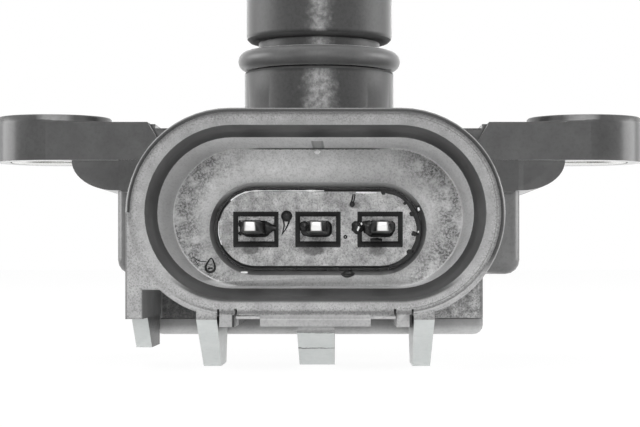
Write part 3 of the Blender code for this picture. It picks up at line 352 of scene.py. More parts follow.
def port_tone(tree, place):
    """A painted highlight up the front of the port, pale and mottled, and painted shade in lines under and
    over the ring's groove.
    """
    x, y, z = put(tree, "SeparateXYZ", [place]).outputs
    # Painted highlight: a paler, mottled patch up the port's front
    off = put(tree, "Math", [x, 0.1], operation="SUBTRACT")
    off = put(tree, "Math", [off], operation="ABSOLUTE")
    clouds = put(tree, "TexNoise", {"Vector": place, "Scale": 1 / 0.6, **CLOUDY})
    ragged = put(tree, "Math", [clouds, 1.6, off], operation="MULTIPLY_ADD")
    narrower = put(tree, "MapRange", [z, 2.0, 7.0, 0.0, 0.5])
    side = put(tree, "Math", [ragged, narrower], operation="ADD")
    middle = put(tree, "MapRange", [side, 2.6, 0.9], **SOFT_STEP)
    front = put(tree, "MapRange", [y, -1.0, -3.0], **SOFT_STEP)
    patch = put(tree, "Math", [middle, front], operation="MULTIPLY")
    lumps = put(tree, "TexNoise", {"Vector": place, "Scale": 1 / 0.45, "Detail": 4.0, "Roughness": 0.7})
    mottled = put(tree, "ValToRGB", [lumps], [(0.38, "#b4b4b4"), (0.62, "#ffffff")])
    shown = put(tree, "Mix", {SHARE: patch, UNDER: linear("#6c6c6c"), OVER: mottled}, **COVER)
    # Painted shade under the ring, and under the upper tube's edge over the groove
    under_groove = shade_along(tree, z, 3.4, 4.4, [(0.0, "#ffffff"), (0.4, "#505050"), (0.5, "#ffffff")])
    stops = [(0.38, "#ffffff"), (0.42, "#505050"), (0.6, "#686868"), (1.0, "#ffffff")]
    over_groove = shade_along(tree, z, 6.0, 7.0, stops)
    return [(shown, 1.0), (under_groove, 1.0), (over_groove, 1.0)]


def seat_tone(tree, place):
    """A paler place on the front of each bolt's seat."""
    x = put(tree, "SeparateXYZ", [place]).outputs["X"]
    side = put(tree, "Math", [x], operation="ABSOLUTE")
    off = put(tree, "Math", [side, 21.85], operation="SUBTRACT")
    off = put(tree, "Math", [off], operation="ABSOLUTE")
    return [(shade_along(tree, off, 0.0, 1.6, [(0.0, "#ffffff"), (0.55, "#f0f0f0"), (1.0, "#848484")]), 1.0)]


def belly_tone(tree, place):
    """The belly is painted lighter just below the flange, to cancel the flange's shadow so it reads as one
    face with it, and at a sink mark.
    """
    x, _, z = put(tree, "SeparateXYZ", [place]).outputs
    shade = shade_along(tree, z, -5.4, -3.8, [(0.0, "#d8d8d8"), (0.55, "#dedede"), (1.0, "#ffffff")])
    off = put(tree, "Math", [x, 16.8], operation="SUBTRACT")
    off = put(tree, "Math", [off], operation="ABSOLUTE")
    beside_mark = put(tree, "MapRange", [off, 0.14, 0.34], **SOFT_STEP)
    return [(shade, beside_mark)]


def lock_tone(tree, place):
    """Painted shade in lines across the lock ramp: under the pad where it starts, and in the crease where its
    slope changes.
    """
    x, _, z = put(tree, "SeparateXYZ", [place]).outputs
    clouds = put(tree, "TexNoise", {"Vector": place, "Scale": 1 / 0.7, "Detail": 4.0, "Roughness": 0.7})
    wavy = put(tree, "Math", [clouds, 0.3, z], operation="MULTIPLY_ADD")
    side = put(tree, "Math", [x], operation="ABSOLUTE")
    middle = put(tree, "MapRange", [side, 1.7, 1.6], **SOFT_STEP)
    layers = []
    for line_z, shade in ((-18.77, "#8a8a8a"), (-17.44, "#9a9a9a")):
        off = put(tree, "Math", [wavy, line_z], operation="SUBTRACT")
        off = put(tree, "Math", [off], operation="ABSOLUTE")
        line = put(tree, "MapRange", [off, 0.07, 0.02], **SOFT_STEP)
        layers.append((linear(shade), put(tree, "Math", [line, middle], operation="MULTIPLY")))
    return layers


def foot_tone(tree, place):
    """The block's foot lightens downwards, where its round edge faces the white table."""
    z = put(tree, "SeparateXYZ", [place]).outputs["Z"]
    stops = [(0.0, "#ffffff"), (0.25, "#ececec"), (0.6, "#b4b4b4"), (1.0, "#989898")]
    return [(shade_along(tree, z, -18.16, -16.9, stops), 1.0)]


def tip_tone(tree, place):
    """The blade is painted bright only at its plated tip, and dark behind it as a painted reflection of the
    dark socket.
    """
    y = put(tree, "SeparateXYZ", [place]).outputs["Y"]
    tip_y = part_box("terminal_left")[0][1] / MM
    stops = [(0.3, "#ffffff"), (0.5, "#5c5c5c"), (1.0, "#484848")]
    return [(shade_along(tree, y, tip_y, tip_y + 0.6, stops), 1.0)]


def moulded(
    name,
    dark,
    light,
    patch=2.0,
    grain=0.3,
    flecks=0.04,
    roughness=0.35,
    bump=0.05,
    sparks=0.0,
    stretch=(1, 1, 1),
    tone=None,
    dust=0.0,
    shine=0.5,
    grain_place=None,
):
    """Glass-filled polyester as moulded: patches between two greys, dark flecks and a grained skin.

    The few other dull materials are drawn in the same way. patch and grain are the patterns' sizes, in
    millimetres. The grain left by spark erosion is about 0.05 mm, too fine to show in the render, so it
    is drawn at 0.1 mm or more. sparks adds the light ends of glass fibres, and dust a pale bloom.
    """
    material = bpy.data.materials.new(name)
    material.use_nodes = True
    tree = material.node_tree
    place = place_in_mm(tree)
    drawn = put(tree, "Mapping", {"Vector": place, "Scale": stretch})
    patches = put(tree, "TexNoise", {"Vector": drawn, "Scale": 1 / patch, "Detail": 4.0, "Roughness": 0.6})
    colour = put(tree, "ValToRGB", [patches], [(0.34, dark), (0.66, light)])
    grainy = {"Detail": 2.0, "Roughness": 0.7}
    grains = put(tree, "TexNoise", {"Vector": drawn, "Scale": 1 / grain, **grainy})
    fleck = put(tree, "ValToRGB", [grains], [(0.36, grey(255 * (1 - flecks))), (0.52, "#ffffff")])
    shown = grain_place(tree, place) if grain_place else 1.0
    colour = put(tree, "Mix", {SHARE: shown, UNDER: colour, OVER: fleck}, **TINT)
    if sparks:
        ends = put(tree, "TexNoise", {"Vector": drawn, "Scale": 1 / (1.2 * grain), **grainy})
        glints = put(tree, "ValToRGB", [ends], [(0.6, "#000000"), (0.72, "#ffffff")])
        colour = put(tree, "Mix", {SHARE: sparks, UNDER: colour, OVER: glints}, **LIGHTEN)
    for over, share in tone(tree, place) if tone else ():
        colour = put(tree, "Mix", {SHARE: share, UNDER: colour, OVER: over}, **TINT)
    uneven = 0.01 + 0.2 * bump
    rough = put(tree, "MapRange", [grains, 0.0, 1.0, roughness - uneven, roughness + uneven])
    skin = put(tree, "Bump", {"Height": grains, "Strength": bump, "Distance": DENT * MM})
    looks = {
        "Base Color": colour,
        "Roughness": rough,
        "Normal": skin,
        "IOR": 1.57,
        "Specular IOR Level": shine,
        "Sheen Weight": dust,
        "Sheen Roughness": 0.35,
    }
    feed(tree, tree.nodes["Principled BSDF"], looks)
    return material


def glossy_resin(name, dark, light, roughness=0.16):
    """Epoxy that set with a wet-looking skin, so it catches small bright highlights."""
    material = bpy.data.materials.new(name)
    material.use_nodes = True
    tree = material.node_tree
    waves = put(tree, "TexNoise", {"Vector": place_in_mm(tree), "Scale": 1 / 0.45, **CLOUDY})
    looks = {
        "Base Color": put(tree, "ValToRGB", [waves], [(0.35, dark), (0.7, light)]),
        "Roughness": put(tree, "MapRange", {"Value": waves, "To Min": roughness, "To Max": roughness + 0.15}),
        "Normal": put(tree, "Bump", {"Height": waves, "Strength": 0.4, "Distance": 0.08 * MM}),
        "IOR": 1.55,
        "Specular IOR Level": 0.35,
    }
    feed(tree, tree.nodes["Principled BSDF"], looks)
    return material


def bare_metal(name, colour, roughness, brush, stretch, tone=None):
    """Plated metal with fine lines left by the tool, which are drawn coarser than the real ones to show."""
    material = bpy.data.materials.new(name)
    material.use_nodes = True
    tree = material.node_tree
    place = place_in_mm(tree)
    drawn = put(tree, "Mapping", {"Vector": place, "Scale": stretch})
    lines = put(tree, "TexNoise", {"Vector": drawn, "Scale": 1 / brush, "Detail": 2.0, "Roughness": 0.6})
    streaks = put(tree, "ValToRGB", [lines], [(0.3, colour), (0.7, "#ffffff")])
    shown = put(tree, "Mix", {SHARE: 0.25, UNDER: linear(colour), OVER: streaks}, **COVER)
    for over, share in tone(tree, place) if tone else ():
        shown = put(tree, "Mix", {SHARE: share, UNDER: shown, OVER: over}, **TINT)
    rough = {"Value": lines, "To Min": roughness - 0.05, "To Max": roughness + 0.08}
    looks = {
        "Base Color": shown,
        "Roughness": put(tree, "MapRange", rough),
        "Normal": put(tree, "Bump", {"Height": lines, "Strength": 0.1, "Distance": 0.01 * MM}),
        "Metallic": 1.0,
    }
    feed(tree, tree.nodes["Principled BSDF"], looks)
    return material


# The housing is one moulding, but its mould was ground, polished and eroded by place

# Spark-eroded steel left a peppered, pale grey face with the light ends of glass fibres
rim_face = moulded(
    "spark_eroded_rim",
    "#969696",
    "#aaaaaa",
    patch=1.3,
    grain=0.14,
    flecks=0.2,
    roughness=0.6,
    bump=0.3,
    sparks=0.14,
    tone=rim_tone,
    grain_place=rim_grain,
)
# The same face on the pad and the ribs is finer, so it looks even
guide_face = moulded(
    "spark_eroded_guides",
    "#9c9c9c",
    "#aaaaaa",
    patch=1.6,
    grain=0.2,
    flecks=0.06,
    roughness=0.5,
    bump=0.1,
    tone=guide_tone,
)
# A polished round, painted dark as the dark room it mirrors, with a painted highlight line
rim_edge = moulded(
    "polished_rim_edge",
    "#c8c8c8",
    "#dadada",
    patch=1.0,
    grain=0.2,
    flecks=0.1,
    roughness=0.25,
    tone=edge_tone,
)
# A polished chamfer, which stays nearly black
polished_lead_in = moulded(
    "polished_lead_in", "#424242", "#4e4e4e", patch=3.0, grain=0.5, roughness=0.3, bump=0.0
)
# Pulled off the core along Y, so its marks are long and pale, and painted near white for the light the deep
# wall gets
dragged_wall = moulded(
    "dragged_socket_wall",
    "#f4f4f4",
    "#ffffff",
    patch=0.9,
    grain=0.16,
    flecks=0.08,
    roughness=0.3,
    stretch=(1, 0.08, 1),
    tone=wall_tone,
)
# Eroded in the middle and peppered at the ends, so it reads as a pale, sandy floor
grained_floor = moulded(
    "grained_socket_floor",
    "#c8c8c8",
    "#d8d8d8",
    patch=1.4,
    grain=0.14,
    flecks=0.12,
    roughness=0.55,
    bump=0.3,
    sparks=0.08,
    tone=floor_tone,
)
# A polished chamfer round the carrier's window, satin and mid grey
window_edge = moulded(
    "polished_window_edge",
    "#989898",
    "#a4a4a4",
    grain=0.4,
    flecks=0.05,
    roughness=0.3,
    bump=0.0,
    tone=window_tone,
    shine=0.3,
)
# The walls of narrow gaps, which hardly take light
dark_gap = moulded(
    "shaded_gap", "#262626", "#323232", patch=2.0, grain=0.4, flecks=0.05, roughness=0.4, bump=0.1, shine=0.2
)
# Smooth black skin with a little dust, satin all over
satin = {"patch": 2.6, "grain": 0.35, "flecks": 0.05, "roughness": 0.26, "bump": 0.04}
moulded_body = moulded("moulded_body", "#3c3c3c", "#464646", **satin, dust=0.4)
ear_seat = moulded("pale_ear_seat", "#828282", "#8c8c8c", **satin, tone=seat_tone)
moulded_belly = moulded("moulded_belly", "#4a4a4a", "#545454", **satin, tone=belly_tone)
# The boxes at the sides mirror more of the room, so they look paler
glossier = {**satin, "roughness": 0.2, "bump": 0.03}
moulded_box = moulded("moulded_side_box", "#5c5c5c", "#686868", **glossier, dust=0.5)
# A turned core's skin, mottled and dusty
moulded_port = moulded(
    "moulded_port",
    "#929292",
    "#9e9e9e",
    patch=0.5,
    grain=0.25,
    flecks=0.06,
    roughness=0.4,
    tone=port_tone,
    dust=0.9,
    shine=0.3,
)
# The ring keeps its groove clean, so this stays dark
port_groove = moulded("smooth_port_groove", "#3c3c3c", "#464646", roughness=0.5, bump=0.0, shine=0.1)
# Coarse erosion, so the block's face is blotched and speckled
moulded_block = moulded(
    "moulded_block",
    "#6c6c6c",
    "#b4b4b4",
    patch=0.5,
    grain=0.14,
    flecks=0.3,
    roughness=0.45,
    bump=0.3,
    sparks=0.2,
    tone=block_tone,
)
# Smooth steel left these plain: dark in the key's shade, matt in its notch, pale at the block's foot
shaded_block = moulded("smooth_block_corner", "#4c4c4c", "#565656")
key_notch = moulded("smooth_key_notch", "#7c7c7c", "#868686", roughness=0.7, shine=0.1)
cover_front = moulded("smooth_block_foot", "#b4b4b4", "#c4c4c4", roughness=0.3, tone=foot_tone)
# Epoxy with mineral filler, dull and pale
glue_grey = moulded("filled_epoxy", "#b0b0b0", "#bababa", patch=1.0, grain=0.2, roughness=0.4)
# Dusty and smooth, so it shows a soft glow under the flange, and painted pale as a reflection of the white
# table
smooth_underside = moulded(
    "smooth_underside", "#8c8c8c", "#969696", patch=2.6, grain=0.35, roughness=0.05, bump=0.0, dust=1.0
)
# Painted light from the white table below: pale and faintly green, with hardly a fleck
worn = {"grain": 0.4, "roughness": 0.5, "bump": 0.12}
painted_lit_ramp = moulded("painted_lit_ramp", "#bec2c1", "#c6c9c8", patch=1.4, flecks=0.02, tone=lock_tone, **worn)
painted_lit_side = moulded("painted_lit_rail_side", "#e8ebea", "#f4f5f4", patch=1.2, tone=side_tone, **worn)
# Thin flash lets light through, so it looks whiter than the moulding; most pieces of it are painted
# highlights and glints
flash_and_painted_highlights = moulded(
    "flash_and_painted_highlights", "#ececec", "#f8f8f8", patch=0.3, grain=0.1, flecks=0.1, roughness=0.3, bump=0.1
)
edge_flash = moulded("rim_flash", "#9c9c9c", "#aaaaaa", patch=0.6, grain=0.15, flecks=0.1, bump=0.1)
# The carrier's own skin: coarse, blotched and sparkling, with polished pockets painted near black for the
# shade in them, and rough pocket floors
carrier_face = moulded(
    "grained_carrier",
    "#8c8c8c",
    "#c4c4c4",
    patch=0.8,
    grain=0.14,
    flecks=0.22,
    roughness=0.5,
    bump=0.35,
    sparks=0.14,
    tone=carrier_tone,
)
pocket_frame = moulded("polished_shaded_pocket", "#1e1e1e", "#282828", grain=0.4, shine=0.15)
pocket_floor = moulded(
    "pocket_floor", "#888888", "#c0c0c0", patch=0.4, grain=0.13, flecks=0.3, roughness=0.5, bump=0.4
)
# Nitrile rubber from a polished mould, dusty black
ring_rubber = moulded(
    "o_ring_rubber", "#4c4c4c", "#585858", grain=0.2, flecks=0.05, roughness=0.36, bump=0.06, dust=0.5
)
# Inside, out of sight: lacquered board, white ceramic, matt chips, brown capacitors, soft gel, shiny silicon
board_green = moulded("solder_mask", "#1f5a34", "#2a6b40", patch=3.0, grain=0.5, flecks=0.05, bump=0.1)
ceramic_white = moulded("alumina", "#dedad0", "#e8e4dc", patch=1.0, roughness=0.5, bump=0.1)
chip_black = moulded(
    "mould_compound", "#2c2c2c", "#363636", patch=1.0, grain=0.2, flecks=0.1, roughness=0.5, bump=0.2
)
capacitor_brown = moulded(
    "capacitor_ceramic", "#8f7458", "#a08466", patch=0.8, grain=0.2, flecks=0.05, roughness=0.45, bump=0.1
)
clear_gel = moulded(
    "soft_gel", "#c8ccd0", "#d4d8dc", patch=1.0, grain=0.4, flecks=0.02, roughness=0.12, bump=0.02
)
silicon_grey = moulded(
    "polished_silicon", "#585a62", "#62646c", patch=1.0, grain=0.3, flecks=0.02, roughness=0.15, bump=0.02
)
# Dark epoxy, wet-looking where it set in a pool and duller where it was smeared
potting = glossy_resin("potting_resin", "#181818", "#2c2c2c")
smeared_resin = glossy_resin("smeared_resin", "#1e1e1e", "#303030", roughness=0.4)
# Tinned bronze, stamped along Y, and zinc-plated steel, turned round Z: both bright with soft streaks
tinned = bare_metal("tinned_bronze", "#fafaf8", 0.3, brush=0.12, stretch=(1, 0.08, 1), tone=tip_tone)
plated_steel = bare_metal("plated_steel", "#e4e4e2", 0.25, brush=0.1, stretch=(0.1, 0.1, 1))


def wear(piece):
    """Puts a piece on the sensor's body."""
    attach(piece, "root")
    return piece


def new_piece(name, bm, material, smooth_angle=35):
    """A finished piece from a bmesh drawn in millimetres."""
    bmesh.ops.recalc_face_normals(bm, faces=bm.faces)
    bmesh.ops.scale(bm, verts=bm.verts, vec=(MM, MM, MM))
    mesh = bpy.data.meshes.new(name)
    bm.to_mesh(mesh)
    bm.free()
    mesh.shade_smooth()
    mesh.set_sharp_from_angle(angle=math.radians(smooth_angle))
    mesh.materials.append(material)
    piece = bpy.data.objects.new(name, mesh)
    bpy.context.scene.collection.objects.link(piece)
    return wear(piece)


def merged_copy(node, name, smooth_angle=31):
    """A copy of a CAD node with its triangles merged into whole faces, which stands for the node."""
    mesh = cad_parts[node].data.copy()
    mesh.name = name
    bm = bmesh.new()
    bm.from_mesh(mesh)
    bmesh.ops.remove_doubles(bm, verts=bm.verts, dist=2e-6)
    bmesh.ops.dissolve_limit(bm, angle_limit=math.radians(0.4), verts=bm.verts, edges=bm.edges)
    bm.to_mesh(mesh)
    bm.free()
    mesh.materials.clear()
    mesh.shade_smooth()
    mesh.set_sharp_from_angle(angle=math.radians(smooth_angle))
    piece = bpy.data.objects.new(name, mesh)
    bpy.context.scene.collection.objects.link(piece)
    even = piece.modifiers.new("even shading", "WEIGHTED_NORMAL")
    even.keep_sharp = True
    even.weight = 80
    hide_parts(node)
    return wear(piece)


def finish_faces(piece, materials, choose):
    """Gives each face the material whose name choose(centre in mm, normal) returns."""
    order = list(materials)
    for name in order:
        piece.data.materials.append(materials[name])
    for face in piece.data.polygons:
        face.material_index = order.index(choose(face.center / MM, face.normal))


def oval_reach(point, reach, centre_z):
    """How far a point is from the core line of an oval that lies along X."""
    return math.hypot(max(abs(point.x) - reach, 0), point.z - centre_z)


def housing_finish(c, n):
    """The finish of the housing's face at c that faces along n."""
    ring = oval_reach(c, SHROUD_REACH, SHROUD_Z)
    # The port tube, above the flange
    if c.z > -0.6 and math.hypot(c.x, c.y) < 6.6:
        return "groove" if 3.2 < c.z < 6.6 and abs(n.z) > 0.2 else "port"
    # The shroud's rim and its round edge, and the guides below it
    if c.y < RIM_Y + 0.4 and n.y < -0.98:
        return "rim" if c.z > -16.3 else "guide"
    if c.y < RIM_Y + 0.4 and n.y < -0.1 and ring > 7.4:
        if c.z < -16.1 or c.x < -10.3 and -14.25 < c.z < -8.6 or c.x < -11.7 and c.z < -8.6:
            return "rim"
        return "rim_edge"
    # The flange's underside and the bolts' seats
    if n.z < -0.9 and abs(c.z + 3.8) < 0.1:
        return "underside"
    if c.z > -0.5 and abs(c.x) > 16 and abs(n.z) < 0.9:
        return "seat"
    # Inside the socket
    if ring < 6.62 and c.y < -6.0:
        if abs(c.y - FLOOR_Y) < 0.05 and n.y < -0.9:
            return "floor"
        if c.y > FLOOR_Y + 0.05:
            return "window" if n.y < -0.2 else "gap"
        return "lead_in" if n.y < -0.2 else "wall"
    # The key's notch, the lock ramp and the rails under the shroud
    if -13.05 < c.x < -10.3 and -16.95 < c.z < -14.2 and c.y > RIM_Y + 0.3:
        return "notch"
    if c.z < -16.3 and c.y < -6.2:
        if n.y < -0.15 and n.z < -0.2:
            return "ramp"
        if 7.2 < abs(c.x) < 9.0 and abs(n.x) > 0.9 and c.z < -16.9:
            return "rail_side"
        return "block" if abs(n.x) > 0.9 else "guide"
    # The block behind the socket, the boxes beside it and the belly under the flange
    if c.z < -13.3 and c.y > -6.2:
        return "block" if c.x > -6.0 else "shaded_block"
    if c.z < -6.2 and abs(c.x) > 14.0 and c.y > -4.8:
        return "box"
    if c.z < -3.8 and n.y < -0.9 and c.y > -4.6:
        return "belly"
    return "body"


housing = merged_copy("housing", "housing_shell")
housing_finishes = {
    "body": moulded_body,
    "belly": moulded_belly,
    "seat": ear_seat,
    "box": moulded_box,
    "port": moulded_port,
    "groove": port_groove,
    "rim": rim_face,
    "rim_edge": rim_edge,
    "guide": guide_face,
    "lead_in": polished_lead_in,
    "wall": dragged_wall,
    "floor": grained_floor,
    "window": window_edge,
    "gap": dark_gap,
    "ramp": painted_lit_ramp,
    "rail_side": painted_lit_side,
    "block": moulded_block,
    "shaded_block": shaded_block,
    "notch": key_notch,
    "underside": smooth_underside,
}
finish_faces(housing, housing_finishes, housing_finish)


def carrier_finish(c, n):
    """The finish of the carrier's face at c that faces along n."""
    if c.y > FLOOR_Y + 0.7:
        return "gap"
    if abs(c.y - POCKET_Y) < 0.04 and n.y < -0.9:
        return "pocket_floor"
    if c.y > FLOOR_Y + 0.1 and n.y < -0.1 and abs(c.z - CARRIER_Z) < 1.6:
        return "frame"
    return "face" if n.y < -0.98 else "gap"


carrier = merged_copy("terminal_carrier", "terminal_carrier_face")
carrier_finishes = {
    "face": carrier_face,
    "frame": pocket_frame,
    "pocket_floor": pocket_floor,
    "gap": dark_gap,
}
finish_faces(carrier, carrier_finishes, carrier_finish)

sealant = merged_copy("carrier_sealant", "carrier_sealant_bead")
sealant.data.materials.append(potting)

cover = merged_copy("cover", "cover_plate")
cover.data.materials.append(cover_front)


def make_o_ring():
    """The O-ring, turned from a fine round section."""
    low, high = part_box("port_o_ring")
    radius = (high[2] - low[2]) / 2 / MM
    centre = (high[0] - low[0]) / 2 / MM - radius
    height = (high[2] + low[2]) / 2 / MM
    bm = bmesh.new()
    turn = Matrix.Translation((centre, 0, height)) @ Matrix.Rotation(math.pi / 2, 4, "X")
    made = bmesh.ops.create_circle(bm, segments=28, radius=radius * 0.99, matrix=turn)
    bmesh.ops.spin(
        bm,
        geom=made["verts"] + bm.edges[:],
        axis=(0, 0, 1),
        cent=(0, 0, 0),
        angle=math.tau,
        steps=120,
        use_merge=True,
    )
    bmesh.ops.remove_doubles(bm, verts=bm.verts, dist=1e-4)
    ring = new_piece("o_ring_cord", bm, ring_rubber, smooth_angle=80)
    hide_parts("port_o_ring")


make_o_ring()


def lump(bm, centre, size, seed, lumpiness=0.12):
    """Adds one lump of resin, in millimetres, with an uneven skin."""
    made = bmesh.ops.create_icosphere(bm, subdivisions=4, radius=1.0)
    for vert in made["verts"]:
        swell = 1 + lumpiness * noise.noise(vert.co * 1.7 + Vector((seed, 3.1 * seed, 0)))
        vert.co = Vector(centre) + Vector(vert.co[i] * size[i] * swell for i in range(3))


def run(bm, points, face_y, flat=0.5, closed=False):
    """Adds a run of resin or flash along (x, z, half width) points, lying on the face at face_y."""
    curve = bpy.data.curves.new("run", "CURVE")
    curve.dimensions = "3D"
    curve.bevel_depth = 1.0
    curve.bevel_resolution = 3
    curve.use_fill_caps = True
    curve.resolution_u = 6
    line = curve.splines.new("NURBS")
    line.points.add(len(points) - 1)
    for point, (x, z, half_width) in zip(line.points, points):
        point.co = (x, 0.0, z, 1.0)
        point.radius = half_width
    line.order_u = 3
    line.use_endpoint_u = not closed
    line.use_cyclic_u = closed
    holder = bpy.data.objects.new("run", curve)
    bpy.context.scene.collection.objects.link(holder)
    solid = holder.evaluated_get(bpy.context.evaluated_depsgraph_get())
    mesh = bpy.data.meshes.new_from_object(solid)
    bpy.data.objects.remove(holder, do_unlink=True)
    bpy.data.curves.remove(curve)
    mesh.transform(Matrix.Translation((0, face_y, 0)) @ Matrix.Diagonal((1, flat, 1, 1)))
    bm.from_mesh(mesh)
    bpy.data.meshes.remove(mesh)


def pool(bm, centre, wide, high, proud):
    """Adds a pool of resin with rounded corners, a little proud of the face it lies on."""
    made = bmesh.ops.create_cube(bm, size=1.0)
    verts = made["verts"]
    bmesh.ops.scale(bm, verts=verts, vec=(wide, 2 * proud, high))
    bmesh.ops.translate(bm, verts=verts, vec=centre)
    edges = [edge for edge in bm.edges if edge.verts[0] in verts]
    upright = [edge for edge in edges if abs(edge.verts[0].co.y - edge.verts[1].co.y) > proud]
    bmesh.ops.bevel(bm, geom=upright, offset=high * 0.33, segments=6, **ROUNDING)
    front = centre[1] - proud
    rim = [edge for edge in bm.edges if all(abs(vert.co.y - front) < 1e-5 for vert in edge.verts)]
    bmesh.ops.bevel(bm, geom=rim, offset=proud * 0.95, segments=4, **ROUNDING)


def make_resin():
    """Resin round each blade's foot: a low pool, and what ran from it over the pocket."""
    low = POCKET_Y
    step = POCKET_Y - 0.12
    left = bmesh.new()
    pool(left, (-5.42, low, -9.45), 2.0, 1.25, 0.13)
    lump(left, (-4.22, step, -9.48), (0.52, 0.2, 0.5), 2)
    run(left, [(-4.0, -9.4, 0.34), (-3.72, -9.45, 0.26), (-3.45, -9.48, 0.26)], step, flat=0.6)
    lump(left, (-6.42, low, -9.1), (0.12, 0.12, 0.3), 3)
    lump(left, (-6.4, low, -9.9), (0.16, 0.12, 0.16), 4)

    middle = bmesh.new()
    pool(middle, (-0.2, low, -9.53), 2.44, 1.2, 0.13)
    lump(middle, (-1.15, low - 0.06, -9.35), (0.42, 0.16, 0.45), 6)
    lump(middle, (0.57, low - 0.1, -9.22), (0.36, 0.14, 0.34), 7)
    lump(middle, (0.62, low - 0.1, -9.55), (0.2, 0.12, 0.14), 8)

    right = bmesh.new()
    pool(right, (5.4, low, -9.38), 1.9, 0.98, 0.12)
    lump(right, (4.15, low, -9.4), (0.62, 0.14, 0.62), 10, lumpiness=0.3)
    lump(right, (3.2, CARRIER_Y + 0.1, -9.42), (0.46, 0.3, 0.52), 11, lumpiness=0.3)
    lump(right, (3.3, CARRIER_Y - 0.08, -9.2), (0.16, 0.1, 0.22), 12)
    lump(right, (3.1, CARRIER_Y - 0.08, -9.65), (0.13, 0.1, 0.16), 13)
    run(right, [(4.3, -10.5, 0.16), (4.75, -10.42, 0.24), (5.25, -10.52, 0.18)], step - 0.1, flat=0.6)

    for name, bm in (("left", left), ("middle", middle), ("right", right)):
        piece = new_piece(f"resin_pool_{name}", bm, potting, smooth_angle=60)
        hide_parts(f"terminal_resin_{name}")


make_resin()


def make_overflow():
    """Resin that rose out of the gap round the carrier's right end and smeared over its edge, in a dark band
    that is also painted shade over the gap.
    """
    bm = bmesh.new()
    line = [
        (4.9, -6.42, 0.04),
        (5.2, -6.5, 0.16),
        (5.7, -6.58, 0.2),
        (6.4, -6.78, 0.18),
        (7.0, -7.15, 0.18),
        (7.5, -7.68, 0.2),
        (7.92, -8.35, 0.24),
        (8.12, -9.0, 0.22),
        (8.2, -9.6, 0.2),
        (8.18, -10.2, 0.24),
        (8.0, -10.9, 0.24),
        (7.72, -11.45, 0.24),
        (7.2, -12.02, 0.2),
        (6.5, -12.42, 0.12),
        (5.8, -12.64, 0.04),
    ]
    run(bm, line, CARRIER_Y + 0.02, flat=0.12)
    for index, (x, z, size) in enumerate(
        ((5.35, -6.58, 0.2), (7.72, -8.3, 0.24), (7.86, -9.95, 0.22), (7.5, -11.42, 0.24), (7.1, -7.45, 0.14))
    ):
        lump(bm, (x, CARRIER_Y, z), (size, 0.07, size * 0.9), 20 + index, lumpiness=0.3)
    new_piece("resin_overflow", bm, smeared_resin, smooth_angle=60)

    bm = bmesh.new()
    lump(bm, (8.2, CARRIER_Y - 0.06, -7.95), (0.14, 0.1, 0.32), 26)
    lump(bm, (8.14, CARRIER_Y - 0.06, -9.9), (0.12, 0.1, 0.14), 27)
    lump(bm, (7.78, CARRIER_Y - 0.05, -11.4), (0.1, 0.08, 0.1), 28)
    new_piece("resin_beads", bm, potting, smooth_angle=60)


make_overflow()


def make_drops():
    """Drops and threads of resin on the carrier and the socket's floor, and dark runs of it along the
    pockets' lower edges that are painted shadow.
    """
    bm = bmesh.new()
    lump(bm, (-2.56, CARRIER_Y, -8.5), (0.46, 0.2, 0.46), 31, lumpiness=0.05)
    thread = [(-2.95, -8.45, 0.08), (-2.76, -9.0, 0.07), (-2.78, -9.5, 0.06), (-2.95, -10.05, 0.04)]
    run(bm, thread, CARRIER_Y)
    thread = [(-2.2, -8.5, 0.08), (-2.38, -9.0, 0.08), (-2.58, -9.5, 0.06), (-2.9, -9.95, 0.03)]
    run(bm, thread, CARRIER_Y)
    lump(bm, (2.8, CARRIER_Y, -7.53), (0.22, 0.14, 0.25), 32, lumpiness=0.05)
    run(bm, [(2.72, -7.4, 0.07), (2.82, -7.05, 0.07), (2.88, -6.7, 0.05)], CARRIER_Y)
    run(bm, [(2.92, -7.35, 0.05), (3.0, -7.0, 0.06), (3.02, -6.7, 0.05)], CARRIER_Y)
    ring = [(2.24 + 0.13 * math.cos(a), -10.2 + 0.13 * math.sin(a), 0.06) for a in (0, 1.3, 2.5, 3.8, 5.0)]
    run(bm, ring, CARRIER_Y, closed=True)
    loop = [
        (-8.72, -11.85, 0.05),
        (-9.0, -12.25, 0.08),
        (-9.22, -12.65, 0.1),
        (-9.1, -13.0, 0.11),
        (-8.8, -13.1, 0.11),
        (-8.48, -12.98, 0.11),
        (-8.4, -12.65, 0.09),
        (-8.55, -12.2, 0.07),
    ]
    run(bm, loop, FLOOR_Y, closed=True)
    run(bm, [(-9.0, -12.82, 0.08), (-8.78, -12.72, 0.09), (-8.6, -12.78, 0.07)], FLOOR_Y)
    run(bm, [(-10.25, -11.8, 0.02), (-9.9, -12.1, 0.035), (-9.5, -12.24, 0.04), (-9.1, -12.2, 0.03)], FLOOR_Y)
    run(bm, [(-10.1, -12.0, 0.02), (-9.9, -12.35, 0.03), (-9.75, -12.6, 0.02)], FLOOR_Y)
    run(bm, [(1.9, -13.2, 0.07), (2.1, -13.4, 0.12), (2.55, -13.45, 0.14), (2.95, -13.25, 0.08)], FLOOR_Y)
    lump(bm, (2.5, FLOOR_Y, -13.2), (0.5, 0.12, 0.2), 33, lumpiness=0.1)
    # Painted shadow: a dark run along each pocket's lower edge
    for middle in (-PITCH, 0, PITCH):
        line = [(middle + across, -10.99, 0.075) for across in (-1.84, -0.6, 0.6, 1.84)]
        run(bm, line, CARRIER_Y)
    new_piece("resin_drops", bm, potting, smooth_angle=60)


make_drops()


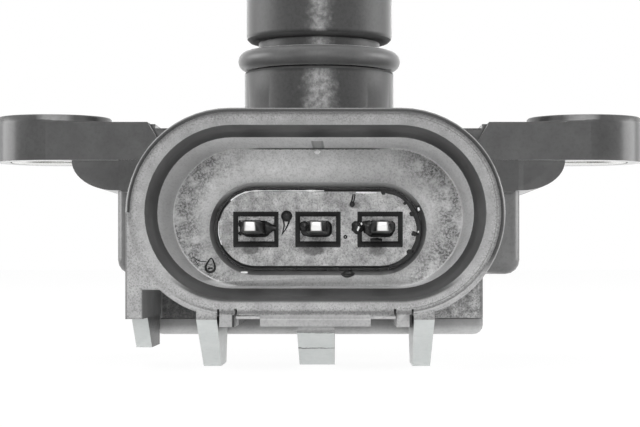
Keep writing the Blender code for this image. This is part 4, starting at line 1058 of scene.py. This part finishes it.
def carrier_edge(start_deg, end_deg, reach_x):
    """Points along the carrier's front edge: round its left end, and then along its top to reach_x."""
    radius = CARRIER_RADIUS - 0.05
    points = []
    for index in range(9):
        turn = math.radians(start_deg + (end_deg - start_deg) * index / 8)
        points.append((-CARRIER_REACH + radius * math.cos(turn), CARRIER_Z + radius * math.sin(turn)))
    if reach_x is not None:
        for index in range(1, 11):
            points.append((-CARRIER_REACH + (reach_x + CARRIER_REACH) * index / 10, CARRIER_Z + radius))
    return points


def make_flash():
    """Pale flash as painted highlights along the carrier's top and left edges, chips of it as painted glints
    on the resin beside, a chip at the gate, and a bead under the rim.
    """
    bm = bmesh.new()
    # Painted highlights along the carrier's top and left edges
    for points, swell in ((carrier_edge(132, 90, 0.5), 0.085), (carrier_edge(205, 168, None), 0.06)):
        line = []
        for x, z in points:
            unevenness = abs(noise.noise(Vector((4.1 * x, 3.7 * z, 0))))
            line.append((x, z, swell * (0.3 + 1.6 * unevenness)))
        run(bm, line, CARRIER_Y, flat=0.8)
    run(bm, [(-6.32, -13.12, 0.08), (-6.05, -13.1, 0.1), (-5.76, -13.11, 0.08)], FLOOR_Y + 0.05, flat=0.6)
    gate_chip = [(-0.3, -3.25, 0.05), (-0.12, -3.3, 0.2), (0.05, -3.26, 0.16), (0.2, -3.22, 0.05)]
    run(bm, gate_chip, FLOOR_Y, flat=0.2)
    thread = [(3.1, -6.56, 0.04), (3.6, -6.6, 0.09), (4.2, -6.58, 0.07), (4.8, -6.6, 0.04)]
    run(bm, thread, CARRIER_Y, flat=0.6)
    # Painted glints: pale chips on the resin in the right pocket and on the overflow
    for index, (x, z, size) in enumerate(
        ((3.32, -9.45, 0.12), (3.25, -9.62, 0.1), (3.55, -9.12, 0.1), (8.22, -7.95, 0.14), (8.2, -9.8, 0.08))
    ):
        lump(bm, (x, CARRIER_Y - 0.2, z), (size * 0.7, 0.05, size), 40 + index, lumpiness=0.5)
    new_piece("carrier_flash_and_highlights", bm, flash_and_painted_highlights, smooth_angle=60)

    bm = bmesh.new()
    run(bm, [(x, -16.42, 0.13) for x in (-5.95, -3.0, 0.0, 3.0, 6.0)], RIM_Y + 0.2, flat=1.0)
    new_piece("rim_flash", bm, edge_flash, smooth_angle=60)


make_flash()


def make_blade(side):
    """A terminal whose tip has the soft edges of a stamped and tinned blade."""
    blade = merged_copy(f"terminal_{side}", f"blade_{side}")
    blade.data.materials.append(tinned)
    bm = bmesh.new()
    bm.from_mesh(blade.data)
    tip = min(vert.co.y for vert in bm.verts)
    edges = [edge for edge in bm.edges if all(vert.co.y < tip + 0.02 * MM for vert in edge.verts)]
    bmesh.ops.bevel(bm, geom=edges, offset=0.09 * MM, segments=3, **ROUNDING)
    bm.to_mesh(blade.data)
    bm.free()
    blade.data.shade_smooth()
    blade.data.set_sharp_from_angle(angle=math.radians(50))


for side in ("left", "middle", "right"):
    make_blade(side)

# Finishes of the nodes that keep their CAD shape
NODE_FINISHES = {
    "bolt_sleeve_left": plated_steel,
    "bolt_sleeve_right": plated_steel,
    "circuit_board": board_green,
    "cell_case": ceramic_white,
    "cell_glass_base": ceramic_white,
    "cell_die": silicon_grey,
    "cell_gel": clear_gel,
    "cell_seal_ring": ring_rubber,
    "signal_chip": chip_black,
    "capacitor_1": capacitor_brown,
    "capacitor_2": capacitor_brown,
    "capacitor_3": capacitor_brown,
    "resistor": chip_black,
    "cover_glue": glue_grey,
}
for node, material in NODE_FINISHES.items():
    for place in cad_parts[node].material_slots:
        place.material = material


def sees_background(tree):
    """1 for what the camera sees straight, in a reflection or through glass, and 0 for soft light."""
    path = put(tree, "LightPath").outputs
    seen = put(tree, "Math", [path["Is Camera Ray"], path["Is Glossy Ray"]], operation="MAXIMUM")
    return put(tree, "Math", [seen, path["Is Transmission Ray"]], operation="MAXIMUM")


def make_studio():
    """A white floor under the sensor, a white world and soft lamps."""
    # White card, matt, with fibres that hardly show. Its own glow keeps it white beside the sensor's shadow
    card = bpy.data.materials.new("white_card")
    card.use_nodes = True
    tree = card.node_tree
    shader = tree.nodes["Principled BSDF"]
    fibres = put(tree, "TexNoise", {"Vector": place_in_mm(tree), "Scale": 1 / 1.5, **CLOUDY})
    tint = put(tree, "ValToRGB", [fibres], [(0.2, "#fbfbfb"), (0.8, "#ffffff")])
    feed(tree, shader, {"Base Color": tint, "Roughness": 0.9})
    glow = put(tree, "Emission", {"Color": WHITE, "Strength": 1.06})
    share = put(tree, "MapRange", {"Value": sees_background(tree), "To Min": 0.5, "To Max": 0.88})
    mixed = put(tree, "MixShader", [share, shader, glow])
    feed(tree, tree.nodes["Material Output"], {"Surface": mixed})

    bm = bmesh.new()
    bmesh.ops.create_grid(bm, x_segments=1, y_segments=1, size=3.0)
    lowest = cad_box[0][2]
    bmesh.ops.translate(bm, verts=bm.verts, vec=(0, 0, lowest - 0.05 * MM))
    mesh = bpy.data.meshes.new("studio_floor")
    bm.to_mesh(mesh)
    bm.free()
    mesh.materials.append(card)
    floor = bpy.data.objects.new("studio_floor", mesh)
    bpy.context.scene.collection.objects.link(floor)

    world = bpy.data.worlds.new("white_room")
    world.use_nodes = True
    tree = world.node_tree
    level = put(tree, "MapRange", {"Value": sees_background(tree), "To Min": 0.4, "To Max": 1.0})
    # Reflections see the room darker behind the camera, so the flat faces that face it stay dark
    looks = put(tree, "TexCoord").outputs["Generated"]
    towards = put(tree, "SeparateXYZ", [looks]).outputs["Y"]
    room = put(tree, "MapRange", [towards, -0.25, -0.7, 1.1, 0.4])
    mirrored = put(tree, "LightPath").outputs["Is Glossy Ray"]
    shade = put(tree, "MapRange", {"Value": mirrored, "To Min": 1.0, "To Max": room})
    strength = put(tree, "Math", [level, shade], operation="MULTIPLY")
    feed(tree, tree.nodes["Background"], {"Color": WHITE, "Strength": strength})
    bpy.context.scene.world = world

    # Each lamp's place and size in metres, its power in watts, and whether reflections show it
    for name, stands_at, size, power, reflected in (
        ("front_fill", (0.0, -0.6, -0.01), 0.2, 3.4, False),
        ("front_softbox", (0.0, -0.55, 0.28), 0.4, 0.6, True),
        ("camera_lamp", (0.02, -0.55, 0.16), 0.06, 0.12, True),
        ("left_softbox", (-0.6, 0.05, 0.05), 0.4, 1.8, True),
        ("right_softbox", (0.6, 0.05, 0.05), 0.4, 1.8, True),
        ("top_softbox", (-0.15, -0.1, 0.5), 0.5, 0.3, True),
    ):
        lamp = bpy.data.lights.new(name, "AREA")
        lamp.size = size
        lamp.energy = power
        holder = bpy.data.objects.new(name, lamp)
        holder.visible_glossy = reflected
        holder.location = stands_at
        aim = Vector((0, -0.01, -0.008)) - Vector(stands_at)
        holder.rotation_euler = aim.to_track_quat("-Z", "Y").to_euler()
        bpy.context.scene.collection.objects.link(holder)


make_studio()

# Where the camera stands, in millimetres, worked out from near and far edges of the same form
CAMERA_PLACE = (2.21, -158.06, -12.5)

# The photograph's frame, its focal length and where the camera's axis meets it, in pixels
PHOTO_WIDTH = 640
PHOTO_HEIGHT = 427
FOCAL_LENGTH = 1850
AXIS_RIGHT = 345
AXIS_DOWN = 265
SENSOR_WIDTH_MM = 36.0


def make_camera():
    """The photograph's view: close in front of the socket, level with the lower body."""
    lens = bpy.data.cameras.new("camera")
    lens.sensor_width = SENSOR_WIDTH_MM
    lens.lens = SENSOR_WIDTH_MM * FOCAL_LENGTH / PHOTO_WIDTH
    lens.clip_start = 0.005
    camera = bpy.data.objects.new("camera", lens)
    camera.location = Vector(CAMERA_PLACE) * MM
    camera.rotation_euler = (math.radians(90), 0, 0)
    lens.shift_x = (PHOTO_WIDTH / 2 - AXIS_RIGHT) / PHOTO_WIDTH
    lens.shift_y = (AXIS_DOWN - PHOTO_HEIGHT / 2) / PHOTO_WIDTH
    bpy.context.scene.collection.objects.link(camera)
    bpy.context.scene.camera = camera


make_camera()
bpy.context.scene.view_settings.view_transform = "Standard"
